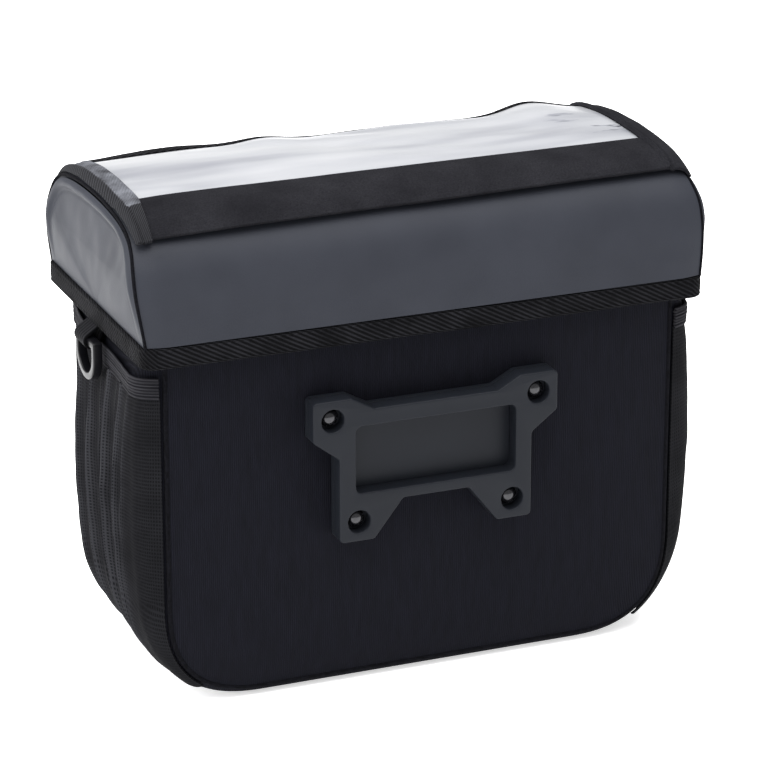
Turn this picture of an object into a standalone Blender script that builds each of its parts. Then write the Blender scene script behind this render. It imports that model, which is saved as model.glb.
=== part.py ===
"""Handlebar bag: a soft box of two panels and one gusset, with mesh side pockets, a padded
lid with a map window, and a moulded mounting plate on the rider's side.

X runs left to right for the rider, -Y faces the rider, Z is up, and the bag stands on Z = 0.
All named sizes are in millimetres.
"""

import math

import bmesh
import bpy
from mathutils import Matrix, Vector

MM = 0.001
GAP = 0.3  # clearance between neighbouring pieces

# Body, measured from seam to seam
BODY_WIDTH = 245.6
BODY_DEPTH = 118.0
CORNER_RADIUS = 47.0
CORNER_STEPS = 6
SEAM_LIFT = 5.0  # bottom seams above the ground
RIM_HEIGHT = 192.0  # open top of the body, inside the lid
PANEL_WALL = 2.0
PANEL_CROWN = 4.4
GUSSET_WALL = 2.0
SIDE_SWELL = 8.4  # most that the gusset's sides stand out beyond the seams
PIPING_RADIUS = 1.2

# Side pockets
POCKET_WALL = 1.0
POCKET_SWELL = 11.6
POCKET_FOLD = 1.8
POCKET_CORNER_ANGLE = 45.0  # how far round the bottom corner the pocket's seam sits, in degrees
POCKET_STEP_DOWN = 15.0  # longest step between the points of its mesh, down the pocket
POCKET_STEP_ACROSS = 0.042  # longest step across, as a share of the body's depth
POCKET_HEM_TOP = 160.3
POCKET_HEM_HEIGHT = 10.3
POCKET_HEM_WALL = 1.4

# Lid
LID_WIDTH = 272.0
LID_DEPTH = 140.0
LID_RISE = 53.5  # crown above the hem tape
LID_WALL = 2.0
LID_END_SWELL = 2.6
LID_END_CROWN = 4.0
LID_EDGE_RUN = 12.0
LID_EDGE_INSET = 2.5
LID_SEAM_INSET = 2.0
HEM_TOP = 177.5
HEM_HEIGHT = 10.0
HEM_WALL = 2.4
HEM_CORNER_RADIUS = 7.0
HINGE_WIDTH = 216.0
HINGE_WALL = 1.2

# Map pocket on the lid
STRIP_WALL = 1.6
FILM_WALL = 0.8
BINDING_WIDTH = 10.7
BINDING_FAR_WIDTH = 6.0
MAP_LEFT = 132.2
MAP_RIGHT = 124.0
MAP_NEAR = 51.0
MAP_FAR = 53.0
STRIP_WIDTH = 28.0
STRIP_LOOSE = 2.4
STRIP_DRAPE = 15.0
STRIP_DROP = 6.0
STRIP_RIDGE = 1.9
FILM_WAVE = 3.6

# Ring tabs and rings
TAPE_WALL = 1.2
TAB_WIDTH = 19.0
TAB_TOP = 178.0
RING_INNER_WIDTH = 20.0
RING_INNER_HEIGHT = 14.0
RING_LIMB = 3.2
RING_THICKNESS = 4.4
RING_EDGE = 1.0
RING_AXIS_HEIGHT = 161.0
RING_CLEARANCE = 0.35

# Mounting plate and its screws
PLATE_THICKNESS = 11.0
PLATE_EDGE = 0.7
HOLE_ROW_HEIGHT = 134.8
HOLE_SPAN_TOP = 100.0
HOLE_SPAN_BOTTOM = 75.0
HOLE_RISE = 50.0
HOLE_RADIUS = 5.4
HOLE_DEPTH = 6.0
LOBE_MARGIN = 9.4
LOBE_LENGTH = 18.3
LOBE_SLOPE = 11.0
WAIST_TOP = 3.4
WAIST_BOTTOM = 41.5
NECK_DROP = 9.6
FOOT_WIDTH = 16.8
FOOT_SLOPE = 14.0
PLATE_CORNER_RADIUS = 2.2
WINDOW_WIDTH = 78.0
WINDOW_HEIGHT = 32.0
WINDOW_DROP = 4.4
WINDOW_DEPTH = 8.5
WINDOW_CORNER_RADIUS = 3.0
SCREW_HEAD_RADIUS = 4.3
SCREW_HEAD_HEIGHT = 3.2
SCREW_SHANK_RADIUS = 2.0
SCREW_SHANK_LENGTH = 4.0

# Gusset across its depth, near seam to far seam: columns are place as a share of the body's
# depth, swell of a side as a share of the side's swell, drop of the base as a share of the lift
# of the bottom seams, and stretch of what is laid on it where the slope is steep
GUSSET_ACROSS = (
    (0.000, 0.00, 0.00, 3.0),
    (0.016, 0.42, 0.50, 2.5),
    (0.045, 0.74, 0.84, 1.7),
    (0.100, 0.92, 1.00, 1.2),
    (0.230, 1.00, 1.00, 1.0),
    (0.420, 1.00, 1.00, 1.0),
    (0.620, 0.94, 1.00, 1.0),
    (0.790, 0.78, 1.00, 1.1),
    (0.910, 0.50, 1.00, 1.3),
    (0.968, 0.27, 0.72, 1.5),
    (1.000, 0.00, 0.00, 1.7),
)

# Swell of a side down its height: columns are height as a share of the rim's height, swell of
# the gusset as a share of the side's swell, and swell of the pocket as a share of its own
SIDE_DOWN = (
    (1.000, 0.60, 0.50),
    (0.925, 0.62, 0.50),
    (0.870, 0.64, 0.52),
    (0.835, 1.00, 0.54),
    (0.781, 0.95, 0.55),
    (0.735, 0.88, 0.60),
    (0.640, 0.76, 0.84),
    (0.520, 0.72, 1.00),
    (0.380, 0.70, 0.98),
    (0.280, 0.68, 0.88),
    (0.000, 0.60, 0.40),
)

# Upright folds of the pocket's mesh: columns are place across as a share of the body's depth,
# rise as a share of the pocket's fold, and half width as a share of the depth
POCKET_FOLDS = (
    (0.15, 0.80, 0.050),
    (0.36, 1.00, 0.055),
    (0.57, 0.90, 0.050),
    (0.78, 0.80, 0.055),
)

# Arch of the lid from its near hem over the top to its far hem: columns are place as a share
# of half the lid's depth, height as a share of the lid's rise, and swell of the end seams
LID_ARCH = (
    (-1.000, 0.000, 0.00),
    (-0.980, 0.200, 0.55),
    (-0.945, 0.420, 1.00),
    (-0.893, 0.620, 0.95),
    (-0.810, 0.765, 0.50),
    (-0.690, 0.870, 0.10),
    (-0.520, 0.945, 0.00),
    (-0.300, 0.985, 0.00),
    (-0.030, 1.000, 0.00),
    (0.240, 0.992, 0.00),
    (0.480, 0.965, 0.00),
    (0.670, 0.915, 0.05),
    (0.800, 0.830, 0.25),
    (0.890, 0.690, 0.60),
    (0.945, 0.500, 1.00),
    (0.980, 0.260, 0.75),
    (1.000, 0.000, 0.00),
)

# Flap that joins the lid to the front panel: columns are height above the ground in millimetres
# and share of the way from the panel's face to the far hem's inner face
HINGE_RISE = (
    (148.0, 0.00),
    (156.0, 0.00),
    (162.0, 0.35),
    (168.0, 1.00),
    (176.0, 1.00),
)

# Lifts of the loose far edge of the map window: columns are place as a share of half the
# window's width, rise as a share of the film's wave, and half width as a share of half the width
WINDOW_LIFTS = (
    (-0.62, 0.30, 0.20),
    (-0.29, 0.60, 0.14),
    (0.22, 0.25, 0.20),
    (0.78, 1.00, 0.17),
)

bag = bpy.data.collections.new("handlebar_bag")
cutters = bpy.data.collections.new("cutters")


def clear_scene():
    for item in list(bpy.data.objects):
        bpy.data.objects.remove(item, do_unlink=True)
    for collection in (bag, cutters):
        bpy.context.scene.collection.children.link(collection)


def make_finish(name, colour, roughness, metallic=0.0, alpha=1.0):
    finish = bpy.data.materials.new(name)
    finish.use_nodes = True
    shader = finish.node_tree.nodes["Principled BSDF"]
    shader.inputs["Base Color"].default_value = (*colour, 1.0)
    shader.inputs["Roughness"].default_value = roughness
    shader.inputs["Metallic"].default_value = metallic
    shader.inputs["Alpha"].default_value = alpha
    finish.diffuse_color = (*colour, alpha)
    return finish


def put_in(item, collection):
    for holder in list(item.users_collection):
        holder.objects.unlink(item)
    collection.objects.link(item)


def read_table(table, column, place):
    """Value of a column at a place in the first column, straight between the rows."""
    rows = sorted(table)
    place = min(max(place, rows[0][0]), rows[-1][0])
    for low, high in zip(rows, rows[1:]):
        if place <= high[0]:
            share = (place - low[0]) / (high[0] - low[0])
            return low[column] + share * (high[column] - low[column])
    return rows[-1][column]


def skin(name, columns, rows, place, outward, wall, finish):
    """Cloth wall: place(u, v) sets the points of its outer face, and it is thick inwards."""
    bpy.ops.mesh.primitive_grid_add(x_subdivisions=columns, y_subdivisions=rows, size=2.0)
    piece = bpy.context.object
    piece.name = name
    piece.data.name = name
    for vertex in piece.data.vertices:
        u = round((vertex.co.x + 1.0) / 2.0, 6)
        v = round((vertex.co.y + 1.0) / 2.0, 6)
        vertex.co = Vector(place(u, v)) * MM
    weld = bmesh.new()
    weld.from_mesh(piece.data)
    bmesh.ops.remove_doubles(weld, verts=weld.verts, dist=0.01 * MM)
    weld.to_mesh(piece.data)
    weld.free()
    facing = sum((face.normal * face.area for face in piece.data.polygons), Vector())
    if facing.dot(Vector(outward)) < 0:
        piece.data.flip_normals()
    piece.data.shade_smooth()
    piece.data.set_sharp_from_angle(angle=math.radians(50))
    shell = piece.modifiers.new("wall", "SOLIDIFY")
    shell.thickness = wall * MM
    shell.offset = -1.0
    piece.data.materials.append(finish)
    put_in(piece, bag)
    return piece


def cord(name, points, radius, finish, sides=2):
    """Round cord along a list of points, with closed ends."""
    line = bpy.data.curves.new(name, "CURVE")
    line.dimensions = "3D"
    line.bevel_depth = radius * MM
    line.bevel_resolution = sides
    line.use_fill_caps = True
    spline = line.splines.new("POLY")
    spline.points.add(len(points) - 1)
    for knot, point in zip(spline.points, points):
        knot.co = (*(Vector(point) * MM), 1.0)
    piece = bpy.data.objects.new(name, line)
    line.materials.append(finish)
    bag.objects.link(piece)
    return piece


def flat_shape(name, outlines, thickness, edge=0.0, edge_steps=0):
    """Flat piece in the XY plane from closed outlines, the first outside and the rest holes."""
    shape = bpy.data.curves.new(name, "CURVE")
    shape.dimensions = "2D"
    shape.fill_mode = "BOTH"
    shape.extrude = (thickness / 2.0 - edge) * MM
    shape.bevel_depth = edge * MM
    shape.bevel_resolution = edge_steps
    shape.offset = -edge * MM
    for outline in outlines:
        spline = shape.splines.new("POLY")
        spline.points.add(len(outline) - 1)
        for knot, (x, y) in zip(spline.points, outline):
            knot.co = (x * MM, y * MM, 0.0, 1.0)
        spline.use_cyclic_u = True
    return bpy.data.objects.new(name, shape)


def solid_from_curve(curve_object):
    """The curve's surface as a mesh object in the same place, with its caps welded on."""
    bpy.context.scene.collection.objects.link(curve_object)
    graph = bpy.context.evaluated_depsgraph_get()
    mesh = bpy.data.meshes.new_from_object(curve_object.evaluated_get(graph))
    weld = bmesh.new()
    weld.from_mesh(mesh)
    bmesh.ops.remove_doubles(weld, verts=weld.verts, dist=0.001 * MM)
    weld.to_mesh(mesh)
    weld.free()
    name = curve_object.name
    curve = curve_object.data
    placed = curve_object.matrix_world.copy()
    bpy.data.objects.remove(curve_object, do_unlink=True)
    bpy.data.curves.remove(curve)
    piece = bpy.data.objects.new(name, mesh)
    piece.matrix_world = placed
    return piece


def rounded_outline(corners, radius, steps):
    """Closed outline through the corners, each one rounded by an arc of the radius."""
    outline = []
    count = len(corners)
    for index in range(count):
        here = Vector(corners[index])
        back = (Vector(corners[index - 1]) - here).normalized()
        ahead = (Vector(corners[(index + 1) % count]) - here).normalized()
        half = back.angle(ahead) / 2.0
        reach = radius / math.tan(half)
        centre = here + (back + ahead).normalized() * radius / math.sin(half)
        start = here + back * reach - centre
        turn = start.angle_signed(here + ahead * reach - centre)
        for step in range(steps + 1):
            arm = Vector(start)
            arm.rotate(Matrix.Rotation(-turn * step / steps, 2))
            outline.append(tuple(centre + arm))
    return outline


def seam_path(distance):
    """Point of the U-shaped seam, and its outward direction, from the left end of the rim."""
    side = RIM_HEIGHT - SEAM_LIFT - CORNER_RADIUS
    bend = CORNER_RADIUS * math.pi / 2.0
    base = BODY_WIDTH - 2.0 * CORNER_RADIUS
    mirror = 1.0
    if distance > side + bend + base / 2.0:
        distance = 2.0 * (side + bend) + base - distance
        mirror = -1.0
    if distance <= side:
        turn = 0.0
        x, z = -BODY_WIDTH / 2.0, RIM_HEIGHT - distance
    elif distance <= side + bend:
        turn = (distance - side) / CORNER_RADIUS
        x = -BODY_WIDTH / 2.0 + CORNER_RADIUS * (1.0 - math.cos(turn))
        z = SEAM_LIFT + CORNER_RADIUS * (1.0 - math.sin(turn))
    else:
        turn = math.pi / 2.0
        x = -BODY_WIDTH / 2.0 + CORNER_RADIUS + distance - side - bend
        z = SEAM_LIFT
    return mirror * x, z, -mirror * math.cos(turn), -math.sin(turn)


def seam_stations(*stretches):
    """Distances along the seam, from pairs of a stretch's length and its number of steps."""
    distances = [0.0]
    for length, steps in stretches:
        start = distances[-1]
        distances += [start + length * step / steps for step in range(1, steps + 1)]
    return distances


def side_swell(height):
    return SIDE_SWELL * read_table(SIDE_DOWN, 1, height / RIM_HEIGHT)


def pocket_swell(height):
    return POCKET_SWELL * read_table(SIDE_DOWN, 2, height / RIM_HEIGHT)


def gusset_point(distance, depth_share, lift, swell=side_swell):
    """Point at a lift above the gusset's outer face."""
    x, z, out_x, out_z = seam_path(distance)
    side_share = out_x * out_x
    side = swell(z) * read_table(GUSSET_ACROSS, 1, depth_share)
    base = (SEAM_LIFT - GUSSET_WALL / 2.0) * read_table(GUSSET_ACROSS, 2, depth_share)
    out = side_share * side + (1.0 - side_share) * base + GUSSET_WALL / 2.0
    out += lift * read_table(GUSSET_ACROSS, 3, depth_share)
    inside = BODY_DEPTH / 2.0 - PIPING_RADIUS - GAP
    y = inside * (2.0 * depth_share - 1.0)
    return x + out_x * out, y, z + out_z * out


def panel_face(across, z):
    """Distance of a panel's outer face from the middle plane, crowned between its edges."""
    low = SEAM_LIFT + PIPING_RADIUS + GAP
    up = 2.0 * (z - low) / (RIM_HEIGHT - low) - 1.0
    crown = PANEL_CROWN * (1.0 - across ** 4) * (1.0 - up ** 4)
    return BODY_DEPTH / 2.0 + PANEL_WALL / 2.0 + crown


def make_panel(name, facing, finish):
    """Back or front panel: flat at its edge, softly crowned, with round bottom corners."""
    inset = PIPING_RADIUS + GAP
    half = BODY_WIDTH / 2.0 - inset
    radius = CORNER_RADIUS - inset
    low = SEAM_LIFT + inset
    side_steps = 6

    def place(u, v):
        row = round(v * (CORNER_STEPS + side_steps))
        if row <= CORNER_STEPS:
            angle = math.pi / 2.0 * (1.0 - row / CORNER_STEPS)
            width = half - radius + radius * math.cos(angle)
            z = low + radius * (1.0 - math.sin(angle))
        else:
            width = half
            z = low + radius + (RIM_HEIGHT - low - radius) * (row - CORNER_STEPS) / side_steps
        across = math.sin(math.pi / 2.0 * (2.0 * u - 1.0))
        return across * width, facing * panel_face(across, z), z

    return skin(name, 12, CORNER_STEPS + side_steps, place, (0, facing, 0), PANEL_WALL, finish)


def side_stations():
    """Distances down one side, one at each row of the side's table above the corner."""
    side = RIM_HEIGHT - SEAM_LIFT - CORNER_RADIUS
    distances = [RIM_HEIGHT * (1.0 - row[0]) for row in SIDE_DOWN]
    return [distance for distance in distances if distance < side - GAP] + [side]


def make_gusset(finish):
    bend = CORNER_RADIUS * math.pi / 2.0
    base = BODY_WIDTH - 2.0 * CORNER_RADIUS
    stations = side_stations()
    side = stations[-1]
    stations += [side + bend * step / CORNER_STEPS for step in range(1, CORNER_STEPS + 1)]
    whole = 2.0 * (side + bend) + base
    stations += [whole - distance for distance in reversed(stations)]

    def place(u, v):
        distance = stations[round(u * (len(stations) - 1))]
        row = GUSSET_ACROSS[round(v * (len(GUSSET_ACROSS) - 1))]
        return gusset_point(distance, row[0], 0.0)

    columns = len(stations) - 1
    return skin("gusset", columns, len(GUSSET_ACROSS) - 1, place, (0, 0, -1), GUSSET_WALL, finish)


def make_body_piping(name, facing, finish):
    side = RIM_HEIGHT - SEAM_LIFT - CORNER_RADIUS
    bend = CORNER_RADIUS * math.pi / 2.0
    base = BODY_WIDTH - 2.0 * CORNER_RADIUS
    points = []
    bends = (bend, CORNER_STEPS)
    for distance in seam_stations((side, 1), bends, (base, 1), bends, (side, 1)):
        x, z, _, _ = seam_path(distance)
        points.append((x, facing * BODY_DEPTH / 2.0, z))
    return cord(name, points, PIPING_RADIUS, finish)


def pocket_fold(depth_share, drop_share):
    """Rise of the upright folds, gone at the hem and at the bottom seam."""
    rise = 0.0
    for place, height, width in POCKET_FOLDS:
        rise += height * math.exp(-(((depth_share - place) / width) ** 2))
    return POCKET_FOLD * rise * math.sin(math.pi * drop_share) ** 0.7


def split_steps(places, longest):
    """The places with the long steps between them split evenly."""
    fine = [places[0]]
    for low, high in zip(places, places[1:]):
        steps = max(1, round((high - low) / longest))
        fine += [low + (high - low) * step / steps for step in range(1, steps + 1)]
    return fine


def make_pocket(name, side_sign, finish):
    """Mesh pocket: a full, gathered sheet from the hem band down to its bottom seam."""
    start = RIM_HEIGHT - POCKET_HEM_TOP + POCKET_HEM_HEIGHT + GAP
    bend = CORNER_RADIUS * math.radians(POCKET_CORNER_ANGLE)
    sides = [distance for distance in side_stations() if distance > start + GAP]
    steps = round(POCKET_CORNER_ANGLE / 90.0 * CORNER_STEPS)
    corner = [sides[-1] + bend * step / steps for step in range(1, steps + 1)]
    down = split_steps([start] + sides + corner, POCKET_STEP_DOWN)
    across = split_steps([row[0] for row in GUSSET_ACROSS], POCKET_STEP_ACROSS)
    lift = GAP + POCKET_WALL

    def place(u, v):
        distance = down[round(v * (len(down) - 1))]
        depth_share = across[round(u * (len(across) - 1))]
        drop_share = (distance - start) / (down[-1] - start)
        ease = 1.0 - drop_share ** 6

        def swell(height):
            return side_swell(height) + ease * max(pocket_swell(height) - side_swell(height), 0.0)

        fold = pocket_fold(depth_share, drop_share)
        x, y, z = gusset_point(distance, depth_share, lift + fold, swell)
        return -side_sign * x, y, z

    columns = len(across) - 1
    return skin(name, columns, len(down) - 1, place, (side_sign, 0, 0), POCKET_WALL, finish)


def make_pocket_hem(name, side_sign, finish):
    """Elastic band that closes the pocket's mouth."""
    start = RIM_HEIGHT - POCKET_HEM_TOP
    lift = GAP + POCKET_HEM_WALL

    def place(u, v):
        share = GUSSET_ACROSS[round(u * (len(GUSSET_ACROSS) - 1))][0]
        x, y, z = gusset_point(start + POCKET_HEM_HEIGHT * v, share, lift)
        return -side_sign * x, y, z

    columns = len(GUSSET_ACROSS) - 1
    return skin(name, columns, 2, place, (side_sign, 0, 0), POCKET_HEM_WALL, finish)


def lid_arch(turn):
    """Place, height and end swell of the lid's arch at a turn from 0, near, to 1, far."""
    last = len(LID_ARCH) - 1
    index = min(int(turn * last), last - 1)
    share = turn * last - index
    rows = [LID_ARCH[min(max(index + step, 0), last)] for step in (-1, 0, 1, 2)]
    value = []
    for before, low, high, after in zip(*rows):
        slope_low = (high - before) / 2.0
        slope_high = (after - low) / 2.0
        square = share * share
        cube = square * share
        value.append(
            low * (2.0 * cube - 3.0 * square + 1.0)
            + high * (3.0 * square - 2.0 * cube)
            + slope_low * (cube - 2.0 * square + share)
            + slope_high * (cube - square)
        )
    return value[0] * LID_DEPTH / 2.0, value[1] * LID_RISE, value[2] * LID_END_SWELL


def lid_seam(turn):
    """Distance of an end seam from the bag's middle."""
    return LID_WIDTH / 2.0 - LID_SEAM_INSET + lid_arch(turn)[2]


def lid_point(x, turn, lift):
    """Point at a lift above the outer face of the lid's cover, which rounds off at its ends."""
    step = 0.002
    y, rise, _ = lid_arch(turn)
    y_before, rise_before, _ = lid_arch(max(turn - step, 0.0))
    y_after, rise_after, _ = lid_arch(min(turn + step, 1.0))
    along = Vector((y_after - y_before, rise_after - rise_before)).normalized()
    past = max(0.0, abs(x) - lid_seam(turn) + LID_EDGE_RUN) / LID_EDGE_RUN
    out = lift - LID_EDGE_INSET * past * past
    z = HEM_TOP + GAP + rise + out * along.x
    return x, y - out * along.y, max(z, HEM_TOP + GAP)


def lid_turn(y):
    """Turn of the arch at which it reaches a place y."""
    low, high = 0.0, 1.0
    for _ in range(40):
        middle = (low + high) / 2.0
        if lid_arch(middle)[0] < y:
            low = middle
        else:
            high = middle
    return low


def make_lid_cover(finish):
    stations = (-1.0, -0.975, -0.94, -0.9, -0.45, 0.0, 0.45, 0.9, 0.94, 0.975, 1.0)

    def place(u, v):
        reach = lid_seam(v) - PIPING_RADIUS - GAP
        x = reach * stations[round(u * (len(stations) - 1))]
        return lid_point(x, v, 0.0)

    rows = len(LID_ARCH) - 1
    return skin("lid_cover", len(stations) - 1, rows, place, (0, 0, 1), LID_WALL, finish)


def make_lid_end(name, side_sign, finish):
    """D-shaped end of the lid, crowned outwards between its seam and the hem."""
    rings = (0.0, 0.45, 0.8, 1.0)
    inset = PIPING_RADIUS * 1.5 + GAP
    base = HEM_TOP + GAP

    def place(u, v):
        ring = rings[round(v * (len(rings) - 1))]
        seam = lid_seam(u)
        _, y, z = lid_point(seam, u, -inset)
        z = base + ring * (z - base)
        swell = LID_END_CROWN * (1.0 - ring ** 3) * min(1.0, (z - base) / LID_RISE * 2.2)
        middle = LID_WIDTH / 2.0 - LID_SEAM_INSET
        x = middle + ring * (seam - middle) + LID_WALL / 2.0 + swell
        return side_sign * x, ring * y, z

    return skin(name, len(LID_ARCH) - 1, len(rings) - 1, place, (side_sign, 0, 0), LID_WALL, finish)


def make_lid_piping(name, side_sign, finish):
    points = []
    last = len(LID_ARCH) - 1
    for index in range(last + 1):
        turn = index / last
        points.append(lid_point(side_sign * lid_seam(turn), turn, -PIPING_RADIUS / 2.0))
    return cord(name, points, PIPING_RADIUS, finish)


def make_lid_hem(finish):
    """Tape round the lid's open edge."""
    outlines = []
    for inset in (0.0, HEM_WALL):
        half_x = LID_WIDTH / 2.0 - inset
        half_y = LID_DEPTH / 2.0 - inset
        corners = ((half_x, half_y), (-half_x, half_y), (-half_x, -half_y), (half_x, -half_y))
        outlines.append(rounded_outline(corners, HEM_CORNER_RADIUS - inset, 4))
    piece = solid_from_curve(flat_shape("lid_hem", outlines, HEM_HEIGHT))
    piece.location = (0.0, 0.0, (HEM_TOP - HEM_HEIGHT / 2.0) * MM)
    piece.data.materials.append(finish)
    bag.objects.link(piece)
    return piece


def make_lid_hinge(finish):
    """Cloth flap inside the far hem, from the front panel up to the lid."""
    hem = LID_DEPTH / 2.0 - HEM_WALL - GAP

    def place(u, v):
        z, share = HINGE_RISE[round(v * (len(HINGE_RISE) - 1))]
        x = HINGE_WIDTH * (u - 0.5)
        low = panel_face(2.0 * x / BODY_WIDTH, z) + 2.0 * GAP + HINGE_WALL
        return x, low + share * (hem - low), z

    return skin("lid_hinge", 12, len(HINGE_RISE) - 1, place, (0, 1, 0), HINGE_WALL, finish)


def window_lift(x, y):
    """Height of the window's film above the lid, loose along its far edge."""
    share = max(0.0, (y + MAP_NEAR) / (MAP_NEAR + MAP_FAR))
    rise = 0.0
    for place, height, width in WINDOW_LIFTS:
        rise += height * math.exp(-(((x / MAP_RIGHT - place) / width) ** 2))
    return GAP + FILM_WAVE * rise * share ** 3


def map_piece(name, columns, rows, x_range, y_range, wall, finish, lift=window_lift):
    """Part of the map pocket: a strip over the lid between two places in x and in y."""
    turns = [lid_turn(y) for y in y_range]

    def place(u, v):
        x = x_range[0] + (x_range[1] - x_range[0]) * u
        turn = turns[0] + (turns[1] - turns[0]) * v
        return lid_point(x, turn, lift(x, lid_arch(turn)[0]) + wall)

    return skin(name, columns, rows, place, (0, 0, 1), wall, finish)


def strip_lift(x, y):
    """Near strip: it lies on the lid at the window and hangs loose at its lower edge."""
    loose = (STRIP_WIDTH - MAP_NEAR - y) / STRIP_WIDTH
    return GAP + STRIP_LOOSE * max(loose, 0.0) ** 2


def make_map_right(finish):
    """Right border of the map pocket, draped over the end of the lid."""
    turns = (lid_turn(-MAP_NEAR), lid_turn(MAP_FAR))
    ridge = 0.66  # share of the drape at which the border passes over the end seam

    def place(u, v):
        turn = turns[0] + (turns[1] - turns[0]) * v
        y = lid_arch(turn)[0]
        over = min(u / ridge, 1.0)
        down = max(0.0, (u - ridge) / (1.0 - ridge))
        flat = max(window_lift(MAP_RIGHT, y), strip_lift(MAP_RIGHT, y))
        rise = flat + (STRIP_RIDGE - GAP + LID_EDGE_INSET) * over * over
        x = MAP_RIGHT + STRIP_DRAPE * (u - 0.12 * down * down)
        x_skin, y_skin, z_skin = lid_point(min(x, lid_seam(turn)), turn, rise + STRIP_WALL)
        return x, y_skin, z_skin - STRIP_DROP * down * down

    return skin("map_strip_right", 8, 12, place, (0, 0, 1), STRIP_WALL, finish)


def make_map_pocket(cloth, film, tape):
    left = -MAP_LEFT
    inner_left = left + BINDING_WIDTH
    window = (inner_left + GAP, MAP_RIGHT - GAP)
    strip_far = STRIP_WIDTH - MAP_NEAR
    film_far = MAP_FAR - BINDING_FAR_WIDTH

    def border_lift(x, y):
        return max(window_lift(x, y), strip_lift(x, y))

    map_piece("map_window", 18, 7, window, (strip_far + GAP, film_far - GAP), FILM_WALL, film)
    near = (-MAP_NEAR, strip_far)
    map_piece("map_strip_near", 14, 4, window, near, STRIP_WALL, cloth, strip_lift)
    far = (film_far, MAP_FAR)
    map_piece("map_binding_far", 18, 1, window, far, STRIP_WALL, tape)
    edge = (left, inner_left)
    map_piece("map_binding_left", 3, 12, edge, (-MAP_NEAR, MAP_FAR), STRIP_WALL, tape, border_lift)
    make_map_right(cloth)


def ring_axis():
    """Distance of a ring's bar from the bag's middle plane."""
    band = BODY_WIDTH / 2.0 + side_swell(POCKET_HEM_TOP) + GUSSET_WALL / 2.0
    return band + POCKET_HEM_WALL + 3.0 * GAP + TAPE_WALL + loop_radius()


def loop_radius():
    """Inner radius of the tape loop, which clears the corners of the ring's bar."""
    corner_x = RING_THICKNESS / 2.0 - RING_EDGE
    corner_z = RING_LIMB / 2.0 - RING_EDGE
    return math.hypot(corner_x, corner_z) + RING_EDGE + RING_CLEARANCE


def make_ring_tab(name, side_sign, finish):
    """Tape folded round the ring's bar, both of its ends sewn flat against the gusset."""
    axis = Vector((ring_axis(), RING_AXIS_HEIGHT))
    radius = loop_radius()
    turn_height = HEM_TOP - HEM_HEIGHT - TAPE_WALL - 2.0 * GAP
    inner = BODY_WIDTH / 2.0 + GUSSET_WALL / 2.0 + GAP + TAPE_WALL + side_swell(turn_height)
    outer = inner + GAP
    angles = []
    for foot, side in ((Vector((inner, turn_height)), 1.0), (Vector((outer, turn_height)), -1.0)):
        away = foot - axis
        angles.append(math.atan2(away.y, away.x) + side * math.acos(radius / away.length))
    first, last = angles[0], angles[1] + 2.0 * math.pi
    route = [(inner, TAB_TOP), (inner, turn_height)]
    steps = 10
    for step in range(steps + 1):
        angle = first + (last - first) * step / steps
        route.append(tuple(axis + radius * Vector((math.cos(angle), math.sin(angle)))))
    route += [(outer, turn_height), (outer, TAB_TOP)]

    def place(u, v):
        x, z = route[round(u * (len(route) - 1))]
        return side_sign * x, TAB_WIDTH * (v - 0.5), z

    return skin(name, len(route) - 1, 1, place, (0, 0, 1), TAPE_WALL, finish)


def make_ring(name, side_sign, finish):
    """D-ring: a straight bar on the joint's axis above a half-round bow."""
    outlines = []
    for grow in (RING_LIMB, 0.0):
        half = RING_INNER_WIDTH / 2.0 + grow
        top = -RING_LIMB / 2.0 + grow
        bow = RING_INNER_HEIGHT + grow + RING_LIMB / 2.0
        outline = [(half, top), (-half, top)]
        steps = 10
        for step in range(steps + 1):
            angle = math.pi * step / steps
            deep = 0.35 * bow + 0.65 * bow * math.sin(angle)
            outline.append((-half * math.cos(angle), -deep))
        outlines.append(outline)
    piece = solid_from_curve(flat_shape(name, outlines, RING_THICKNESS, RING_EDGE))
    piece.data.materials.append(finish)
    piece.data.shade_smooth()
    piece.data.set_sharp_from_angle(angle=math.radians(40))
    upright = Matrix(((0, 0, 1), (1, 0, 0), (0, 1, 0))).to_4x4()
    piece.matrix_world = upright
    piece.location = (side_sign * ring_axis() * MM, 0.0, RING_AXIS_HEIGHT * MM)
    bag.objects.link(piece)
    return piece


def plate_front():
    """Distance of the plate's front face from the bag's middle plane."""
    return BODY_DEPTH / 2.0 + PANEL_WALL / 2.0 + PANEL_CROWN + GAP + PLATE_THICKNESS


def hole_places():
    low = HOLE_ROW_HEIGHT - HOLE_RISE
    for label, z, span in (("top", HOLE_ROW_HEIGHT, HOLE_SPAN_TOP), ("low", low, HOLE_SPAN_BOTTOM)):
        yield label + "_left", -span / 2.0, z
        yield label + "_right", span / 2.0, z


def stand_up(piece, y):
    """Turn a piece made in the XY plane upright, its local top facing the rider."""
    piece.matrix_world = Matrix.Rotation(math.pi / 2.0, 4, "X")
    piece.location.y = y * MM


def cut(piece, cutter):
    cutters.objects.link(cutter)
    cutter.hide_render = True
    cutter.display_type = "WIRE"
    knife = piece.modifiers.new(cutter.name, "BOOLEAN")
    knife.operation = "DIFFERENCE"
    knife.object = cutter


def cylinder_cutter(name, x, z, radius, front, depth, sides):
    """Cutter from just before the plate's front face to a depth behind it."""
    spare = 1.0
    shape = bmesh.new()
    bmesh.ops.create_cone(
        shape,
        cap_ends=True,
        segments=sides,
        radius1=radius * MM,
        radius2=radius * MM,
        depth=(depth + spare) * MM,
        matrix=Matrix.Rotation(math.pi / 2.0, 4, "X"),
    )
    mesh = bpy.data.meshes.new(name)
    shape.to_mesh(mesh)
    shape.free()
    cutter = bpy.data.objects.new(name, mesh)
    cutter.location = (x * MM, (-front + (depth - spare) / 2.0) * MM, z * MM)
    return cutter


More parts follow.
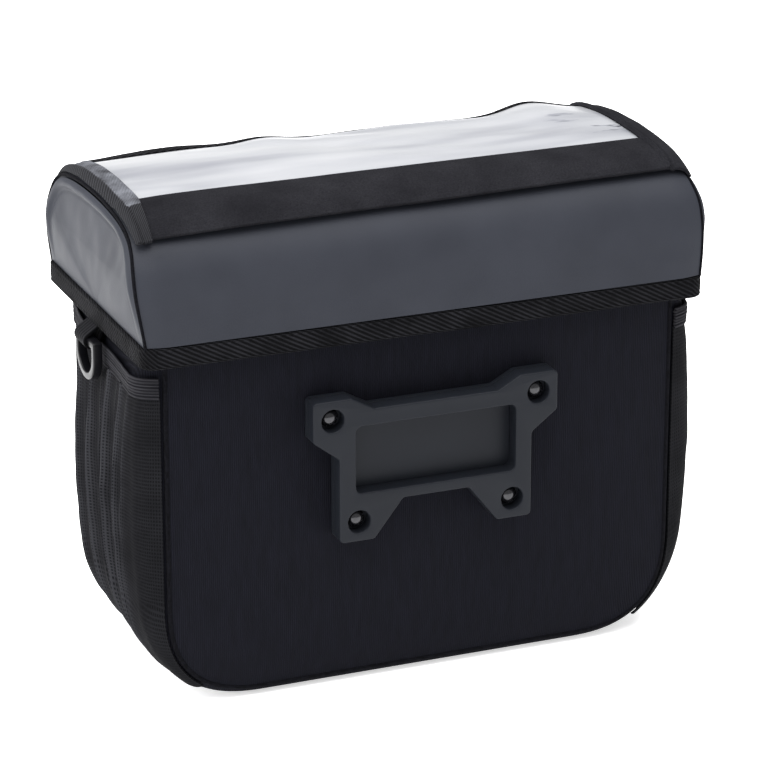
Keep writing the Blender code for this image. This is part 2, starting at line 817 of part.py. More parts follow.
def make_plate(finish):
    """Moulded plate with four lobes, a recessed window and a stepped hole in each lobe."""
    top = HOLE_ROW_HEIGHT
    ear = HOLE_SPAN_TOP / 2.0 + LOBE_MARGIN
    neck = HOLE_SPAN_BOTTOM / 2.0 + LOBE_MARGIN
    foot = top - HOLE_RISE - LOBE_MARGIN
    half = (
        (ear - LOBE_LENGTH - LOBE_SLOPE, top + WAIST_TOP),
        (ear - LOBE_LENGTH, top + LOBE_MARGIN),
        (ear, top + LOBE_MARGIN),
        (ear, top - LOBE_MARGIN),
        (neck, top - LOBE_MARGIN - NECK_DROP),
        (neck, foot),
        (neck - FOOT_WIDTH, foot),
        (neck - FOOT_WIDTH - FOOT_SLOPE, top - WAIST_BOTTOM),
    )
    corners = [(-x, z) for x, z in reversed(half)] + list(half)
    outline = rounded_outline(corners, PLATE_CORNER_RADIUS, 2)
    plate = solid_from_curve(flat_shape("mount_plate", [outline], PLATE_THICKNESS, PLATE_EDGE))
    stand_up(plate, -plate_front() + PLATE_THICKNESS / 2.0)
    middle = top - WINDOW_DROP - WINDOW_HEIGHT / 2.0
    spare = 1.0
    window = []
    for x, z in ((1, 1), (-1, 1), (-1, -1), (1, -1)):
        window.append((x * WINDOW_WIDTH / 2.0, middle + z * WINDOW_HEIGHT / 2.0))
    window = rounded_outline(window, WINDOW_CORNER_RADIUS, 3)
    recess = solid_from_curve(flat_shape("recess_cutter", [window], WINDOW_DEPTH + spare))
    stand_up(recess, -plate_front() + (WINDOW_DEPTH - spare) / 2.0)
    cut(plate, recess)
    for label, x, z in hole_places():
        bore = cylinder_cutter("bore_" + label, x, z, HOLE_RADIUS, plate_front(), HOLE_DEPTH, 20)
        cut(plate, bore)
        drill = SCREW_SHANK_RADIUS + GAP
        length = PLATE_THICKNESS + 1.0
        cut(plate, cylinder_cutter("drill_" + label, x, z, drill, plate_front(), length, 10))
    plate.data.materials.append(finish)
    bag.objects.link(plate)
    return plate


def make_screw(name, x, z, finish):
    """Dome-headed screw, turned about its own axis and seated on the step of its hole."""
    dome = 4
    profile = [(0.0, SCREW_HEAD_HEIGHT)]
    for step in range(1, dome + 1):
        angle = math.pi / 2.0 * step / dome
        side = SCREW_HEAD_RADIUS * math.sin(angle)
        profile.append((side, 0.6 + (SCREW_HEAD_HEIGHT - 0.6) * math.cos(angle)))
    profile.append((SCREW_HEAD_RADIUS, 0.0))
    profile.append((SCREW_SHANK_RADIUS, 0.0))
    profile.append((SCREW_SHANK_RADIUS, -SCREW_SHANK_LENGTH))
    profile.append((0.0, -SCREW_SHANK_LENGTH))
    mesh = bpy.data.meshes.new(name)
    points = [(radius * MM, 0.0, height * MM) for radius, height in profile]
    mesh.from_pydata(points, [(index, index + 1) for index in range(len(points) - 1)], [])
    screw = bpy.data.objects.new(name, mesh)
    turn = screw.modifiers.new("turn", "SCREW")
    turn.steps = 12
    turn.render_steps = 12
    turn.use_merge_vertices = True
    turn.merge_threshold = 0.00001
    seat = -plate_front() + HOLE_DEPTH - GAP
    screw.matrix_world = Matrix.Rotation(math.pi / 2.0, 4, "X")
    screw.location = (x * MM, seat * MM, z * MM)
    screw.data.materials.append(finish)
    bag.objects.link(screw)
    return screw


def main():
    clear_scene()
    panel_cloth = make_finish("panel_cloth", (0.011, 0.011, 0.015), 0.85)
    lid_cloth = make_finish("lid_cloth", (0.060, 0.064, 0.080), 0.55)
    pocket_mesh = make_finish("pocket_mesh", (0.026, 0.026, 0.030), 0.90)
    tape = make_finish("tape", (0.020, 0.020, 0.023), 0.80)
    film = make_finish("window_film", (0.75, 0.76, 0.81), 0.20, alpha=0.85)
    plate_plastic = make_finish("plate_plastic", (0.032, 0.036, 0.046), 0.50)
    ring_plastic = make_finish("ring_plastic", (0.006, 0.006, 0.008), 0.20)
    screw_black = make_finish("screw_black", (0.008, 0.008, 0.009), 0.25, metallic=0.6)

    make_panel("back_panel", -1, panel_cloth)
    make_panel("front_panel", 1, panel_cloth)
    make_gusset(panel_cloth)
    make_body_piping("piping_back", -1, tape)
    make_body_piping("piping_front", 1, tape)
    for side, sign in (("left", -1), ("right", 1)):
        make_pocket("side_pocket_" + side, sign, pocket_mesh)
        make_pocket_hem("pocket_hem_" + side, sign, tape)
        make_ring_tab("ring_tab_" + side, sign, tape)
        make_ring("d_ring_" + side, sign, ring_plastic)
        make_lid_end("lid_end_" + side, sign, lid_cloth)
        make_lid_piping("lid_piping_" + side, sign, tape)
    make_lid_cover(lid_cloth)
    make_lid_hem(tape)
    make_lid_hinge(panel_cloth)
    make_map_pocket(panel_cloth, film, tape)
    make_plate(plate_plastic)
    for label, x, z in hole_places():
        make_screw("screw_" + label, x, z, screw_black)


main()
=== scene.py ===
import math

import bpy
import numpy as np
from mathutils import Matrix, Vector, noise


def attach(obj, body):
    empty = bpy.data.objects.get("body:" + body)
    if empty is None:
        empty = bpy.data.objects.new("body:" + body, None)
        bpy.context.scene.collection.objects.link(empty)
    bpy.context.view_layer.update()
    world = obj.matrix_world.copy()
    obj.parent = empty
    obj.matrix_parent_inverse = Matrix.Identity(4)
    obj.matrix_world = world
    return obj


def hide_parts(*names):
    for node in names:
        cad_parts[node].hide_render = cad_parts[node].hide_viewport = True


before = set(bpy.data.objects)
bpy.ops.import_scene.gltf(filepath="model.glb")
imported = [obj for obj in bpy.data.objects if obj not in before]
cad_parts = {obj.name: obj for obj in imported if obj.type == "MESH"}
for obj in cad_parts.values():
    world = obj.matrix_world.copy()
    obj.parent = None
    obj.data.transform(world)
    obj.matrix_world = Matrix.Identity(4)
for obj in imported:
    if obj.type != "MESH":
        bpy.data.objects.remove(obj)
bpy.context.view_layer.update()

# Camera. The photograph looks down on the bag's left corner from the rider's side with a long
# lens, so upright lines stay nearly upright.
AIM = Vector((-0.0229, -0.0700, 0.1464))
AWAY = Vector((-0.3536, -0.8687, 0.3469))
bpy.ops.object.camera_add(location=AIM + 1.667 * AWAY)
camera = bpy.context.object
camera.name = "camera"
camera.rotation_euler = (-AWAY).to_track_quat("-Z", "Y").to_euler()
camera.data.sensor_width = 36.0
camera.data.lens = 174.7
camera.data.clip_start = 0.05
bpy.context.scene.camera = camera

# Floor and light. One pale sheet with a faint glow of its own lies under the bag and runs far
# behind it. A wide white sky, a large soft lamp above and a weaker one on the left light it.
bpy.context.scene.view_settings.view_transform = "Standard"
bpy.ops.mesh.primitive_plane_add(size=30.0, location=(0.0, 0.0, 0.0))
floor = bpy.context.object
floor.name = "floor"
paper = bpy.data.materials.new("studio_paper")
paper.use_nodes = True
paper_shader = paper.node_tree.nodes["Principled BSDF"]
paper_shader.inputs["Base Color"].default_value = (0.93, 0.93, 0.935, 1.0)
paper_shader.inputs["Roughness"].default_value = 0.9
paper_shader.inputs["Specular IOR Level"].default_value = 0.1
paper_shader.inputs["Emission Color"].default_value = (1.0, 1.0, 1.0, 1.0)
paper_shader.inputs["Emission Strength"].default_value = 0.55
floor.data.materials.append(paper)

sky = bpy.data.worlds.new("studio_white")
sky.use_nodes = True
sky.node_tree.nodes["Background"].inputs["Color"].default_value = (1.0, 1.0, 1.0, 1.0)
sky.node_tree.nodes["Background"].inputs["Strength"].default_value = 0.75
bpy.context.scene.world = sky


def soft_lamp(name, place, aim, size, power):
    bpy.ops.object.light_add(type="AREA", location=place)
    lamp = bpy.context.object
    lamp.name = name
    lamp.rotation_euler = (Vector(aim) - Vector(place)).to_track_quat("-Z", "Y").to_euler()
    lamp.data.shape = "SQUARE"
    lamp.data.size = size
    lamp.data.energy = power


soft_lamp("lamp_left", (-1.7, 0.2, 0.9), (0.0, 0.0, 0.16), 1.5, 32.0)
soft_lamp("lamp_above", (-0.2, -0.2, 2.2), (0.0, 0.0, 0.1), 2.8, 130.0)

# Back and front panels. Each is one stiff panel of near-black pin-ribbed polyester, cut with
# round bottom corners, sewn into the body's seams and a little full towards its middle.
MM = 0.001
BODY_WIDTH = 245.6
BODY_DEPTH = 118.0
CORNER_RADIUS = 47.0
# Below 1 the round corners are squarer than an arc
CORNER_SQUARE = 0.76
SEAM_LIFT = 5.0
RIM_HEIGHT = 192.0
PIPING_RADIUS = 1.2
GAP = 0.3
PANEL_FACE = 60.0
PANEL_CROWN = 1.6
PANEL_EDGE_RISE = 2.1
PANEL_LIMIT = 64.3


def new_finish(name, colour, roughness, **sockets):
    """A material with constant values set on its shader, and its nodes and links to add to."""
    finish = bpy.data.materials.new(name)
    finish.use_nodes = True
    shader = finish.node_tree.nodes["Principled BSDF"]
    shader.inputs["Base Color"].default_value = (*colour, 1.0)
    shader.inputs["Roughness"].default_value = roughness
    for socket, value in sockets.items():
        shader.inputs[socket.replace("_", " ")].default_value = value
    return finish


def add_node(finish, kind, settings=(), values=()):
    """A node of a material, with its settings and the values of its unlinked inputs."""
    node = finish.node_tree.nodes.new(kind)
    for setting, value in dict(settings).items():
        setattr(node, setting, value)
    for socket, value in dict(values).items():
        node.inputs[socket].default_value = value
    return node


def join_nodes(finish, *pairs):
    for output, entry in pairs:
        finish.node_tree.links.new(output, entry)


def placed_bands(finish, source, period, turn=0.0, distortion=0.0, direction="X"):
    """Even bands a period apart in millimetres, across the turned coordinates of a source."""
    coordinates = add_node(finish, "ShaderNodeTexCoord")
    mapping = add_node(finish, "ShaderNodeMapping", values={"Rotation": (0.0, 0.0, turn)})
    bands = add_node(
        finish,
        "ShaderNodeTexWave",
        {"wave_type": "BANDS", "bands_direction": direction, "wave_profile": "SIN"},
        {
            "Scale": math.pi / 10.0 / (period * MM),
            "Distortion": distortion,
            "Detail": 1.0,
            "Detail Scale": 0.35,
        },
    )
    join_nodes(
        finish,
        (coordinates.outputs[source], mapping.inputs["Vector"]),
        (mapping.outputs["Vector"], bands.inputs["Vector"]),
    )
    return bands.outputs["Fac"]


def spots(finish, source, scale, detail=3.0, stretch=(1.0, 1.0, 1.0)):
    """Soft random variation with features of 1 / scale metres."""
    coordinates = add_node(finish, "ShaderNodeTexCoord")
    mapping = add_node(finish, "ShaderNodeMapping", values={"Scale": stretch})
    cloud = add_node(finish, "ShaderNodeTexNoise", values={"Scale": scale, "Detail": detail})
    join_nodes(
        finish,
        (coordinates.outputs[source], mapping.inputs["Vector"]),
        (mapping.outputs["Vector"], cloud.inputs["Vector"]),
    )
    return cloud.outputs["Fac"]


def mixed(finish, kind, first, second):
    """Result of a math node on two sockets or numbers."""
    node = add_node(finish, "ShaderNodeMath", {"operation": kind})
    for entry, value in ((node.inputs[0], first), (node.inputs[1], second)):
        if isinstance(value, (int, float)):
            entry.default_value = value
        else:
            join_nodes(finish, (value, entry))
    return node.outputs[0]


def tint(finish, factor, stops):
    """Colours at stops of a factor, led to the shader's base colour."""
    ramp = add_node(finish, "ShaderNodeValToRGB")
    while len(ramp.color_ramp.elements) < len(stops):
        ramp.color_ramp.elements.new(0.5)
    for element, (place, colour) in zip(ramp.color_ramp.elements, stops):
        element.position = place
        element.color = (*colour, 1.0)
    shader = finish.node_tree.nodes["Principled BSDF"]
    join_nodes(
        finish,
        (factor, ramp.inputs["Fac"]),
        (ramp.outputs["Color"], shader.inputs["Base Color"]),
    )


def relief(finish, height, depth):
    """Bump of a depth in millimetres from a height between 0 and 1."""
    bump = add_node(finish, "ShaderNodeBump", values={"Strength": 1.0, "Distance": depth * MM})
    shader = finish.node_tree.nodes["Principled BSDF"]
    join_nodes(
        finish,
        (height, bump.inputs["Height"]),
        (bump.outputs["Normal"], shader.inputs["Normal"]),
    )


def rough_range(finish, factor, low, high):
    spread = add_node(finish, "ShaderNodeMapRange", values={"To Min": low, "To Max": high})
    shader = finish.node_tree.nodes["Principled BSDF"]
    join_nodes(
        finish,
        (factor, spread.inputs["Value"]),
        (spread.outputs["Result"], shader.inputs["Roughness"]),
    )


panel_cloth = new_finish("panel_cloth", (0.006, 0.006, 0.009), 0.85, Specular_IOR_Level=0.05)
pin_ribs = placed_bands(panel_cloth, "Object", 0.95, distortion=1.2)
weft = placed_bands(panel_cloth, "Object", 0.5, direction="Z")
weave = mixed(panel_cloth, "ADD", pin_ribs, mixed(panel_cloth, "MULTIPLY", weft, 0.35))
slubs = spots(panel_cloth, "Object", 60.0, stretch=(7.0, 7.0, 1.2))
tone = mixed(panel_cloth, "MULTIPLY", weave, slubs)
tint(panel_cloth, tone, ((0.10, (0.0028, 0.0029, 0.0046)), (0.70, (0.0068, 0.0070, 0.0108))))
relief(panel_cloth, weave, 0.12)
rough_range(panel_cloth, slubs, 0.7, 0.9)


def smooth_row(table, column, place):
    """Smooth curve through a column of a table, read at places of its first column."""
    rows = np.array(sorted(table))
    at = rows[:, 0]
    value = rows[:, column]
    slope = np.gradient(value, at)
    place = np.clip(place, at[0], at[-1])
    low = np.clip(np.searchsorted(at, place) - 1, 0, len(at) - 2)
    step = at[low + 1] - at[low]
    share = (place - at[low]) / step
    square = share * share
    cube = square * share
    return (
        value[low] * (2.0 * cube - 3.0 * square + 1.0)
        + value[low + 1] * (3.0 * square - 2.0 * cube)
        + slope[low] * step * (cube - 2.0 * square + share)
        + slope[low + 1] * step * (cube - square)
    )


def ripple(x, y, z, size, seed=0.0):
    """Soft random height between about -1 and 1, with features of a size in millimetres."""
    x, y, z = np.broadcast_arrays(x, y, z)
    shift = Vector((seed, 2.0 * seed, -seed))
    return np.array([noise.noise(Vector(point) / size + shift) for point in zip(x, y, z)])


def lay_sheet(name, columns, rows, place, size):
    """Sheet of faces on the surface place(u, v), in millimetres, its UV map in the cloth's metres."""
    bpy.ops.object.select_all(action="DESELECT")
    bpy.ops.mesh.primitive_grid_add(
        x_subdivisions=columns, y_subdivisions=rows, size=2.0, calc_uvs=True
    )
    sheet = bpy.context.object
    sheet.name = name
    sheet.data.name = name
    flat = np.empty(len(sheet.data.vertices) * 3)
    sheet.data.vertices.foreach_get("co", flat)
    across = (flat[0::3] + 1.0) / 2.0
    down = (flat[1::3] + 1.0) / 2.0
    points = np.stack(np.broadcast_arrays(*place(across, down)), axis=1)
    sheet.data.vertices.foreach_set("co", (points * MM).ravel())
    layer = sheet.data.uv_layers.active.data
    flat = np.empty(len(layer) * 2)
    layer.foreach_get("uv", flat)
    flat[0::2] *= size[0] * MM
    flat[1::2] *= size[1] * MM
    layer.foreach_set("uv", flat)
    sheet.data.update()
    return sheet


def select_only(piece):
    bpy.ops.object.select_all(action="DESELECT")
    piece.select_set(True)
    bpy.context.view_layer.objects.active = piece


def mesh_of_curve(name, curve):
    """Piece with the shape of a curve, as a mesh."""
    piece = bpy.data.objects.new(name, curve)
    bpy.context.scene.collection.objects.link(piece)
    select_only(piece)
    bpy.ops.object.convert(target="MESH")
    return piece


def weld(piece, distance=0.01):
    """Points that lie together become one."""
    select_only(piece)
    bpy.ops.object.mode_set(mode="EDIT")
    bpy.ops.mesh.select_all(action="SELECT")
    bpy.ops.mesh.remove_doubles(threshold=distance * MM)
    bpy.ops.object.mode_set(mode="OBJECT")


def face_out(piece, outward):
    """Turns the faces of an open sheet to the side that outward points to."""
    facing = sum((face.normal * face.area for face in piece.data.polygons), Vector())
    if facing.dot(Vector(outward)) < 0.0:
        piece.data.flip_normals()


def apply_modifier(piece, kind, **settings):
    modifier = piece.modifiers.new(kind.lower(), kind)
    for setting, value in settings.items():
        setattr(modifier, setting, value)
    select_only(piece)
    bpy.ops.object.modifier_apply(modifier=modifier.name)


def give_wall(piece, wall, edge=0.0):
    """The sheet gets its wall on the inside, and when an edge width is given its cut edges are rounded
    over.
    """
    apply_modifier(piece, "SOLIDIFY", thickness=wall * MM, offset=-1.0)
    if edge > 0.0:
        apply_modifier(
            piece,
            "BEVEL",
            width=edge * MM,
            segments=2,
            limit_method="ANGLE",
            angle_limit=math.radians(62.0),
            use_clamp_overlap=True,
        )
    select_only(piece)
    bpy.ops.object.shade_smooth_by_angle(angle=math.radians(35.0))


def hand_over(piece, finish, slot, *nodes, body="bag"):
    """The piece gets its finish, stands for its CAD nodes and moves with its body."""
    piece.data.materials.clear()
    piece.data.materials.append(finish)
    if nodes:
        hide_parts(*nodes)
    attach(piece, body)


def make_panel(name, facing, node):
    inset = PIPING_RADIUS - 0.5
    half = BODY_WIDTH / 2.0 - inset
    radius = CORNER_RADIUS - inset
    low = SEAM_LIFT + inset
    corner_share = 0.3

    def place(u, v):
        turn = np.pi / 2.0 * (1.0 - np.clip(v / corner_share, 0.0, 1.0))
        width = half - radius + radius * np.cos(turn) ** CORNER_SQUARE
        above = np.clip((v - corner_share) / (1.0 - corner_share), 0.0, 1.0)
        z = low + radius * (1.0 - np.sin(turn) ** CORNER_SQUARE)
        z = z + (RIM_HEIGHT - low - radius) * above
        across = np.sin(np.pi / 2.0 * (2.0 * u - 1.0) * 0.98) / np.sin(np.pi / 2.0 * 0.98)
        up = 2.0 * (z - low) / (RIM_HEIGHT - low) - 1.0
        x = across * width
        edge = (1.0 - np.abs(across) ** 9) * (1.0 - np.abs(up) ** 11)
        crown = PANEL_CROWN * (1.0 - across ** 4) * (1.0 - up ** 4) + PANEL_EDGE_RISE * edge
        pucker = np.exp(-((1.0 - np.abs(across)) * width / 5.0)) * (1.0 - np.abs(across) ** 30)
        y = PANEL_FACE + crown + 0.55 * edge * ripple(x, 0.0, z, 46.0, facing)
        y = y + 0.35 * pucker * np.sin(z / 2.3) + 0.16 * edge * ripple(x, 0.0, z, 17.0, 5.0)
        return x, facing * np.minimum(y, PANEL_LIMIT), z

    panel = lay_sheet(name, 110, 100, place, (BODY_WIDTH, RIM_HEIGHT))
    weld(panel)
    face_out(panel, (0.0, facing, 0.0))
    give_wall(panel, 2.0)
    hand_over(panel, panel_cloth, "panel_cloth", node)


make_panel("back_panel_cloth", -1.0, "back_panel")
make_panel("front_panel_cloth", 1.0, "front_panel")

# Gusset. One long strip of the same polyester makes the left side, the bottom and the right
# side. It stands out in a full roll just behind the near seam and is flatter farther back.
SIDE_SWELL = 8.4
SEAM_TUCK = 0.5
# Across the gusset: place in depth, swell of a side, and drop of the bottom, all as shares
GUSSET_ACROSS = (
    (0.000, 0.00, 0.00),
    (0.012, 0.50, 0.50),
    (0.032, 0.94, 0.84),
    (0.065, 1.18, 1.00),
    (0.125, 1.18, 1.00),
    (0.220, 1.08, 1.00),
    (0.340, 1.00, 1.00),
    (0.420, 1.00, 1.00),
    (0.620, 0.92, 1.00),
    (0.790, 0.70, 1.00),
    (0.910, 0.40, 1.00),
    (0.968, 0.27, 0.72),
    (1.000, 0.00, 0.00),
)
# Down a side: height as a share of the rim's, swell of the gusset, and swell of the pocket
SIDE_DOWN = (
    (1.000, 0.60, 0.50),
    (0.925, 0.62, 0.50),
    (0.870, 0.66, 0.52),
    (0.835, 0.97, 0.54),
    (0.781, 0.95, 0.72),
    (0.735, 0.88, 0.82),
    (0.640, 0.76, 0.92),
    (0.520, 0.72, 1.00),
    (0.380, 0.70, 0.98),
    (0.300, 0.66, 0.93),
    (0.220, 0.60, 0.82),
    (0.140, 0.50, 0.62),
    (0.000, 0.40, 0.30),
)
SIDE_RUN = RIM_HEIGHT - SEAM_LIFT - CORNER_RADIUS
BEND_RUN = CORNER_RADIUS * math.pi / 2.0
WHOLE_RUN = 2.0 * (SIDE_RUN + BEND_RUN) + BODY_WIDTH - 2.0 * CORNER_RADIUS


def seam_path(distance):
    """Points of the U-shaped body seam and its outward direction, from the left rim round."""
    mirrored = distance > WHOLE_RUN / 2.0
    run = np.where(mirrored, WHOLE_RUN - distance, distance)
    turn = np.clip((run - SIDE_RUN) / CORNER_RADIUS, 0.0, np.pi / 2.0)
    level = np.maximum(np.cos(turn), 0.0)
    steep = np.sin(turn)
    x = -BODY_WIDTH / 2.0 + CORNER_RADIUS * (1.0 - level ** CORNER_SQUARE)
    x = x + np.maximum(run - SIDE_RUN - BEND_RUN, 0.0)
    rise = CORNER_RADIUS * (1.0 - steep ** CORNER_SQUARE)
    z = np.where(run <= SIDE_RUN, RIM_HEIGHT - run, SEAM_LIFT + rise)
    out_x = level ** (2.0 - CORNER_SQUARE)
    out_z = steep ** (2.0 - CORNER_SQUARE)
    length = np.hypot(out_x, out_z)
    sign = np.where(mirrored, -1.0, 1.0)
    return sign * x, z, -sign * out_x / length, -out_z / length


def side_swell(z):
    return SIDE_SWELL * smooth_row(SIDE_DOWN, 1, z / RIM_HEIGHT)


def gusset_point(distance, share, lift, swell=side_swell):
    """Point at a lift above the gusset's outer face."""
    x, z, out_x, out_z = seam_path(distance)
    side_share = out_x * out_x
    side = swell(z) * np.maximum(smooth_row(GUSSET_ACROSS, 1, share), 0.0)
    base = (SEAM_LIFT - 1.0) * np.clip(smooth_row(GUSSET_ACROSS, 2, share), 0.0, 1.0)
    out = side_share * side + (1.0 - side_share) * base + 1.0 + lift
    y = (BODY_DEPTH / 2.0 - SEAM_TUCK) * (2.0 * share - 1.0)
    y = y + 0.8 * lift * (np.exp((share - 1.0) / 0.03) - np.exp(-share / 0.03))
    return x + out_x * out, y, z + out_z * out


def gusset_place(u, v):
    share = 0.5 - 0.5 * np.cos(np.pi * v)
    _, _, out_x, _ = seam_path(u * WHOLE_RUN)
    x, y, z = gusset_point(u * WHOLE_RUN, share, 0.0)
    soft = out_x * out_x * np.sin(np.pi * v) ** 0.5
    x = x + out_x * soft * (0.5 * ripple(x, y, z, 30.0, 3.0) - 0.3)
    return x, y, z


gusset = lay_sheet("gusset_cloth", 230, 44, gusset_place, (WHOLE_RUN, BODY_DEPTH))
face_out(gusset, (0.0, 0.0, -1.0))
give_wall(gusset, 2.0)
hand_over(gusset, panel_cloth, "panel_cloth", "gusset")

# Body piping. A cord wrapped in black tape is caught in each of the two body seams. It lies
# nearly flush with both cloths and shows as a fine dark line all the way round.
cord_tape = new_finish("cord_tape", (0.004, 0.004, 0.005), 0.85, Specular_IOR_Level=0.04)
cord_grain = spots(cord_tape, "Object", 900.0)
tint(cord_tape, cord_grain, ((0.35, (0.0015, 0.0015, 0.002)), (0.7, (0.005, 0.005, 0.007))))
relief(cord_tape, cord_grain, 0.12)


def make_cord(name, points, radius):
    """Round cord through points in millimetres, with closed ends."""
    line = bpy.data.curves.new(name, "CURVE")
    line.dimensions = "3D"
    line.bevel_depth = radius * MM
    line.bevel_resolution = 3
    line.use_fill_caps = True
    spline = line.splines.new("POLY")
    spline.points.add(len(points) - 1)
    for knot, point in zip(spline.points, points):
        knot.co = (*(Vector(point) * MM), 1.0)
    cord = mesh_of_curve(name, line)
    weld(cord)
    bpy.ops.object.shade_smooth_by_angle(angle=math.radians(50.0))
    return cord


for facing, label in ((-1.0, "back"), (1.0, "front")):
    run = np.linspace(0.0, WHOLE_RUN, 241)
    seam_x, seam_z, _, _ = seam_path(run)
    seam = [(x, facing * (BODY_DEPTH / 2.0 + 0.3), z) for x, z in zip(seam_x, seam_z)]
    piping = make_cord("body_piping_" + label, seam, PIPING_RADIUS)
    hand_over(piping, cord_tape, "tape", "piping_" + label)

# Side pockets. A full sheet of fine knitted mesh is gathered under an elastic band and sewn
# into both body seams and across the bottom corner, so it hangs in upright folds.
POCKET_SWELL = 11.6
HEM_BAND_TOP = 160.3
HEM_BAND_HEIGHT = 10.3
POCKET_COLUMNS = 220
POCKET_ROWS = 90
# Turn round the bottom corner, in degrees, at which a pocket ends, and what its ends add
POCKET_END = 32.0
POCKET_END_SLANT = 24.0
# Upright folds: place in depth, rise and half width as a share of the depth, lean downwards
POCKET_FOLDS = (
    (0.105, 0.80, 0.020, 0.020),
    (0.190, 1.20, 0.026, -0.020),
    (0.275, 0.55, 0.016, 0.030),
    (0.360, 1.30, 0.028, -0.015),
    (0.455, 0.60, 0.018, 0.025),
    (0.560, 1.25, 0.030, 0.020),
    (0.660, 0.55, 0.018, -0.020),
    (0.770, 1.15, 0.028, 0.010),
    (0.880, 0.50, 0.018, -0.020),
)
pocket_mesh = new_finish("pocket_mesh", (0.01, 0.01, 0.012), 0.85, Specular_IOR_Level=0.05)
wales = placed_bands(pocket_mesh, "UV", 1.2, distortion=0.3)
courses = placed_bands(pocket_mesh, "UV", 1.6, direction="Y")
net = mixed(pocket_mesh, "MAXIMUM", wales, courses)
net_wear_and_fold_shade = spots(pocket_mesh, "Object", 45.0)
# Painted shade: the "ridge" point attribute darkens the mesh's colour in the fold valleys and lightens
# it on the fold ridges, on top of random wear.
fold_shade_attribute = add_node(pocket_mesh, "ShaderNodeAttribute", {"attribute_name": "ridge"})
net_wear_and_fold_shade = mixed(pocket_mesh, "MULTIPLY", net_wear_and_fold_shade, fold_shade_attribute.outputs["Fac"])
net_tone = mixed(pocket_mesh, "MULTIPLY", net, net_wear_and_fold_shade)
tint(pocket_mesh, net_tone, ((0.05, (0.0016, 0.0016, 0.0021)), (0.75, (0.0190, 0.0193, 0.0222))))
relief(pocket_mesh, net, 0.15)


def pocket_swell(z):
    return POCKET_SWELL * smooth_row(SIDE_DOWN, 2, z / RIM_HEIGHT)


def pocket_share(along):
    """Place in depth of a column of the pocket, with more columns near both seams."""
    return along - 0.11 * np.sin(2.0 * np.pi * along)


def fold_rise(u, v):
    """Height of the pocket's upright folds, 0 in a valley and about 1 on a ridge."""
    rise = 0.0 * u
    for at, height, width, lean in POCKET_FOLDS:
        off = np.abs(u - at - lean * (v - 0.4)) / width
        rise = rise + height * np.exp(-(off ** 1.35))
    return rise


def make_pocket(side_sign, node):
    start = RIM_HEIGHT - HEM_BAND_TOP + HEM_BAND_HEIGHT - 1.2

    def place(along, v):
        u = pocket_share(along)
        slant = np.exp(-u / 0.16) + np.exp((u - 1.0) / 0.16)
        turn = POCKET_END + POCKET_END_SLANT * slant
        end = SIDE_RUN + CORNER_RADIUS * np.radians(turn)
        distance = start + (end - start) * v
        ease = 1.0 - v ** 6

        def swell(z):
            own = side_swell(z)
            return own + ease * np.maximum(pocket_swell(z) - own, 0.0)

        rise = fold_rise(u, v)
        hang = np.sin(np.pi * np.clip(v, 0.0, 1.0)) ** 0.6
        hang = np.maximum(hang, 0.45 * (1.0 - v) ** 2)
        soft = 0.5 * ripple(u * 118.0, side_sign, v * 140.0, 14.0, 7.0) * hang
        edge = np.clip(u / 0.07, 0.0, 1.0) * np.clip((1.0 - u) / 0.07, 0.0, 1.0)
        fold = ((4.0 * rise - 1.5) * hang + soft) * edge
        x, y, z = gusset_point(distance, u, GAP + 1.2 + fold, swell)
        return -side_sign * x, y, z

    pocket = lay_sheet(
        node + "_mesh", POCKET_COLUMNS, POCKET_ROWS, place, (BODY_DEPTH + 34.0, 134.0)
    )
    along = np.tile(np.linspace(0.0, 1.0, POCKET_COLUMNS + 1), POCKET_ROWS + 1)
    down = np.repeat(np.linspace(0.0, 1.0, POCKET_ROWS + 1), POCKET_COLUMNS + 1)
    # Painted shade for the pocket's colour, kept in the "ridge" attribute: low in the fold valleys, high
    # on the ridges.
    ridge = fold_rise(pocket_share(along), down)
    ridge = 0.55 + 1.25 * np.clip(ridge, 0.0, 1.2) ** 2
    tone = pocket.data.attributes.new("ridge", "FLOAT", "POINT")
    tone.data.foreach_set("value", ridge)
    face_out(pocket, (side_sign, 0.0, 0.0))
    give_wall(pocket, 0.8)
    hand_over(pocket, pocket_mesh, "pocket_mesh", node)


make_pocket(-1.0, "side_pocket_left")
make_pocket(1.0, "side_pocket_right")

# Pocket hems. A flat ribbed elastic, black, with its ribs along its length, closes each pocket's
# mouth and is stretched over the swell of the gusset.
elastic = new_finish("elastic", (0.01, 0.01, 0.012), 0.85, Specular_IOR_Level=0.06)
elastic_grain = placed_bands(elastic, "UV", 1.45, direction="Y")
elastic_wear = mixed(elastic, "MULTIPLY", elastic_grain, spots(elastic, "Object", 90.0))
tint(elastic, elastic_wear, ((0.05, (0.0045, 0.0045, 0.006)), (0.5, (0.0210, 0.0205, 0.0235))))
relief(elastic, elastic_grain, 0.08)


def make_pocket_hem(side_sign, node):
    start = RIM_HEIGHT - HEM_BAND_TOP
    ribs = 5.0

    def place(u, v):
        rib = 0.34 * np.abs(np.sin(np.pi * ribs * v)) ** 0.7
        gather = 0.18 * ripple(u * 118.0, side_sign, v * 2.0, 5.0, 2.0)
        lift = GAP + 1.7 + rib + gather
        x, y, z = gusset_point(start + HEM_BAND_HEIGHT * v, u, lift)
        return -side_sign * x, y, z

    band = lay_sheet(node + "_elastic", 110, 40, place, (BODY_DEPTH, HEM_BAND_HEIGHT))
    face_out(band, (side_sign, 0.0, 0.0))
    give_wall(band, 1.3, 0.3)
    hand_over(band, elastic, "tape", node)


make_pocket_hem(-1.0, "pocket_hem_left")
make_pocket_hem(1.0, "pocket_hem_right")

# Lid cover. A padded panel of smooth slate-grey coated cloth rises from the hem, leans back,
# rounds over and lies nearly flat on top, held in shape by the seams at its ends.
LID_WIDTH = 272.0
LID_DEPTH = 140.0
LID_RISE = 53.5
LID_END_SWELL = 2.6
LID_EDGE_RUN = 12.0
LID_EDGE_INSET = 2.5
LID_ARCH_RUN = 216.0
HEM_TOP = 177.5
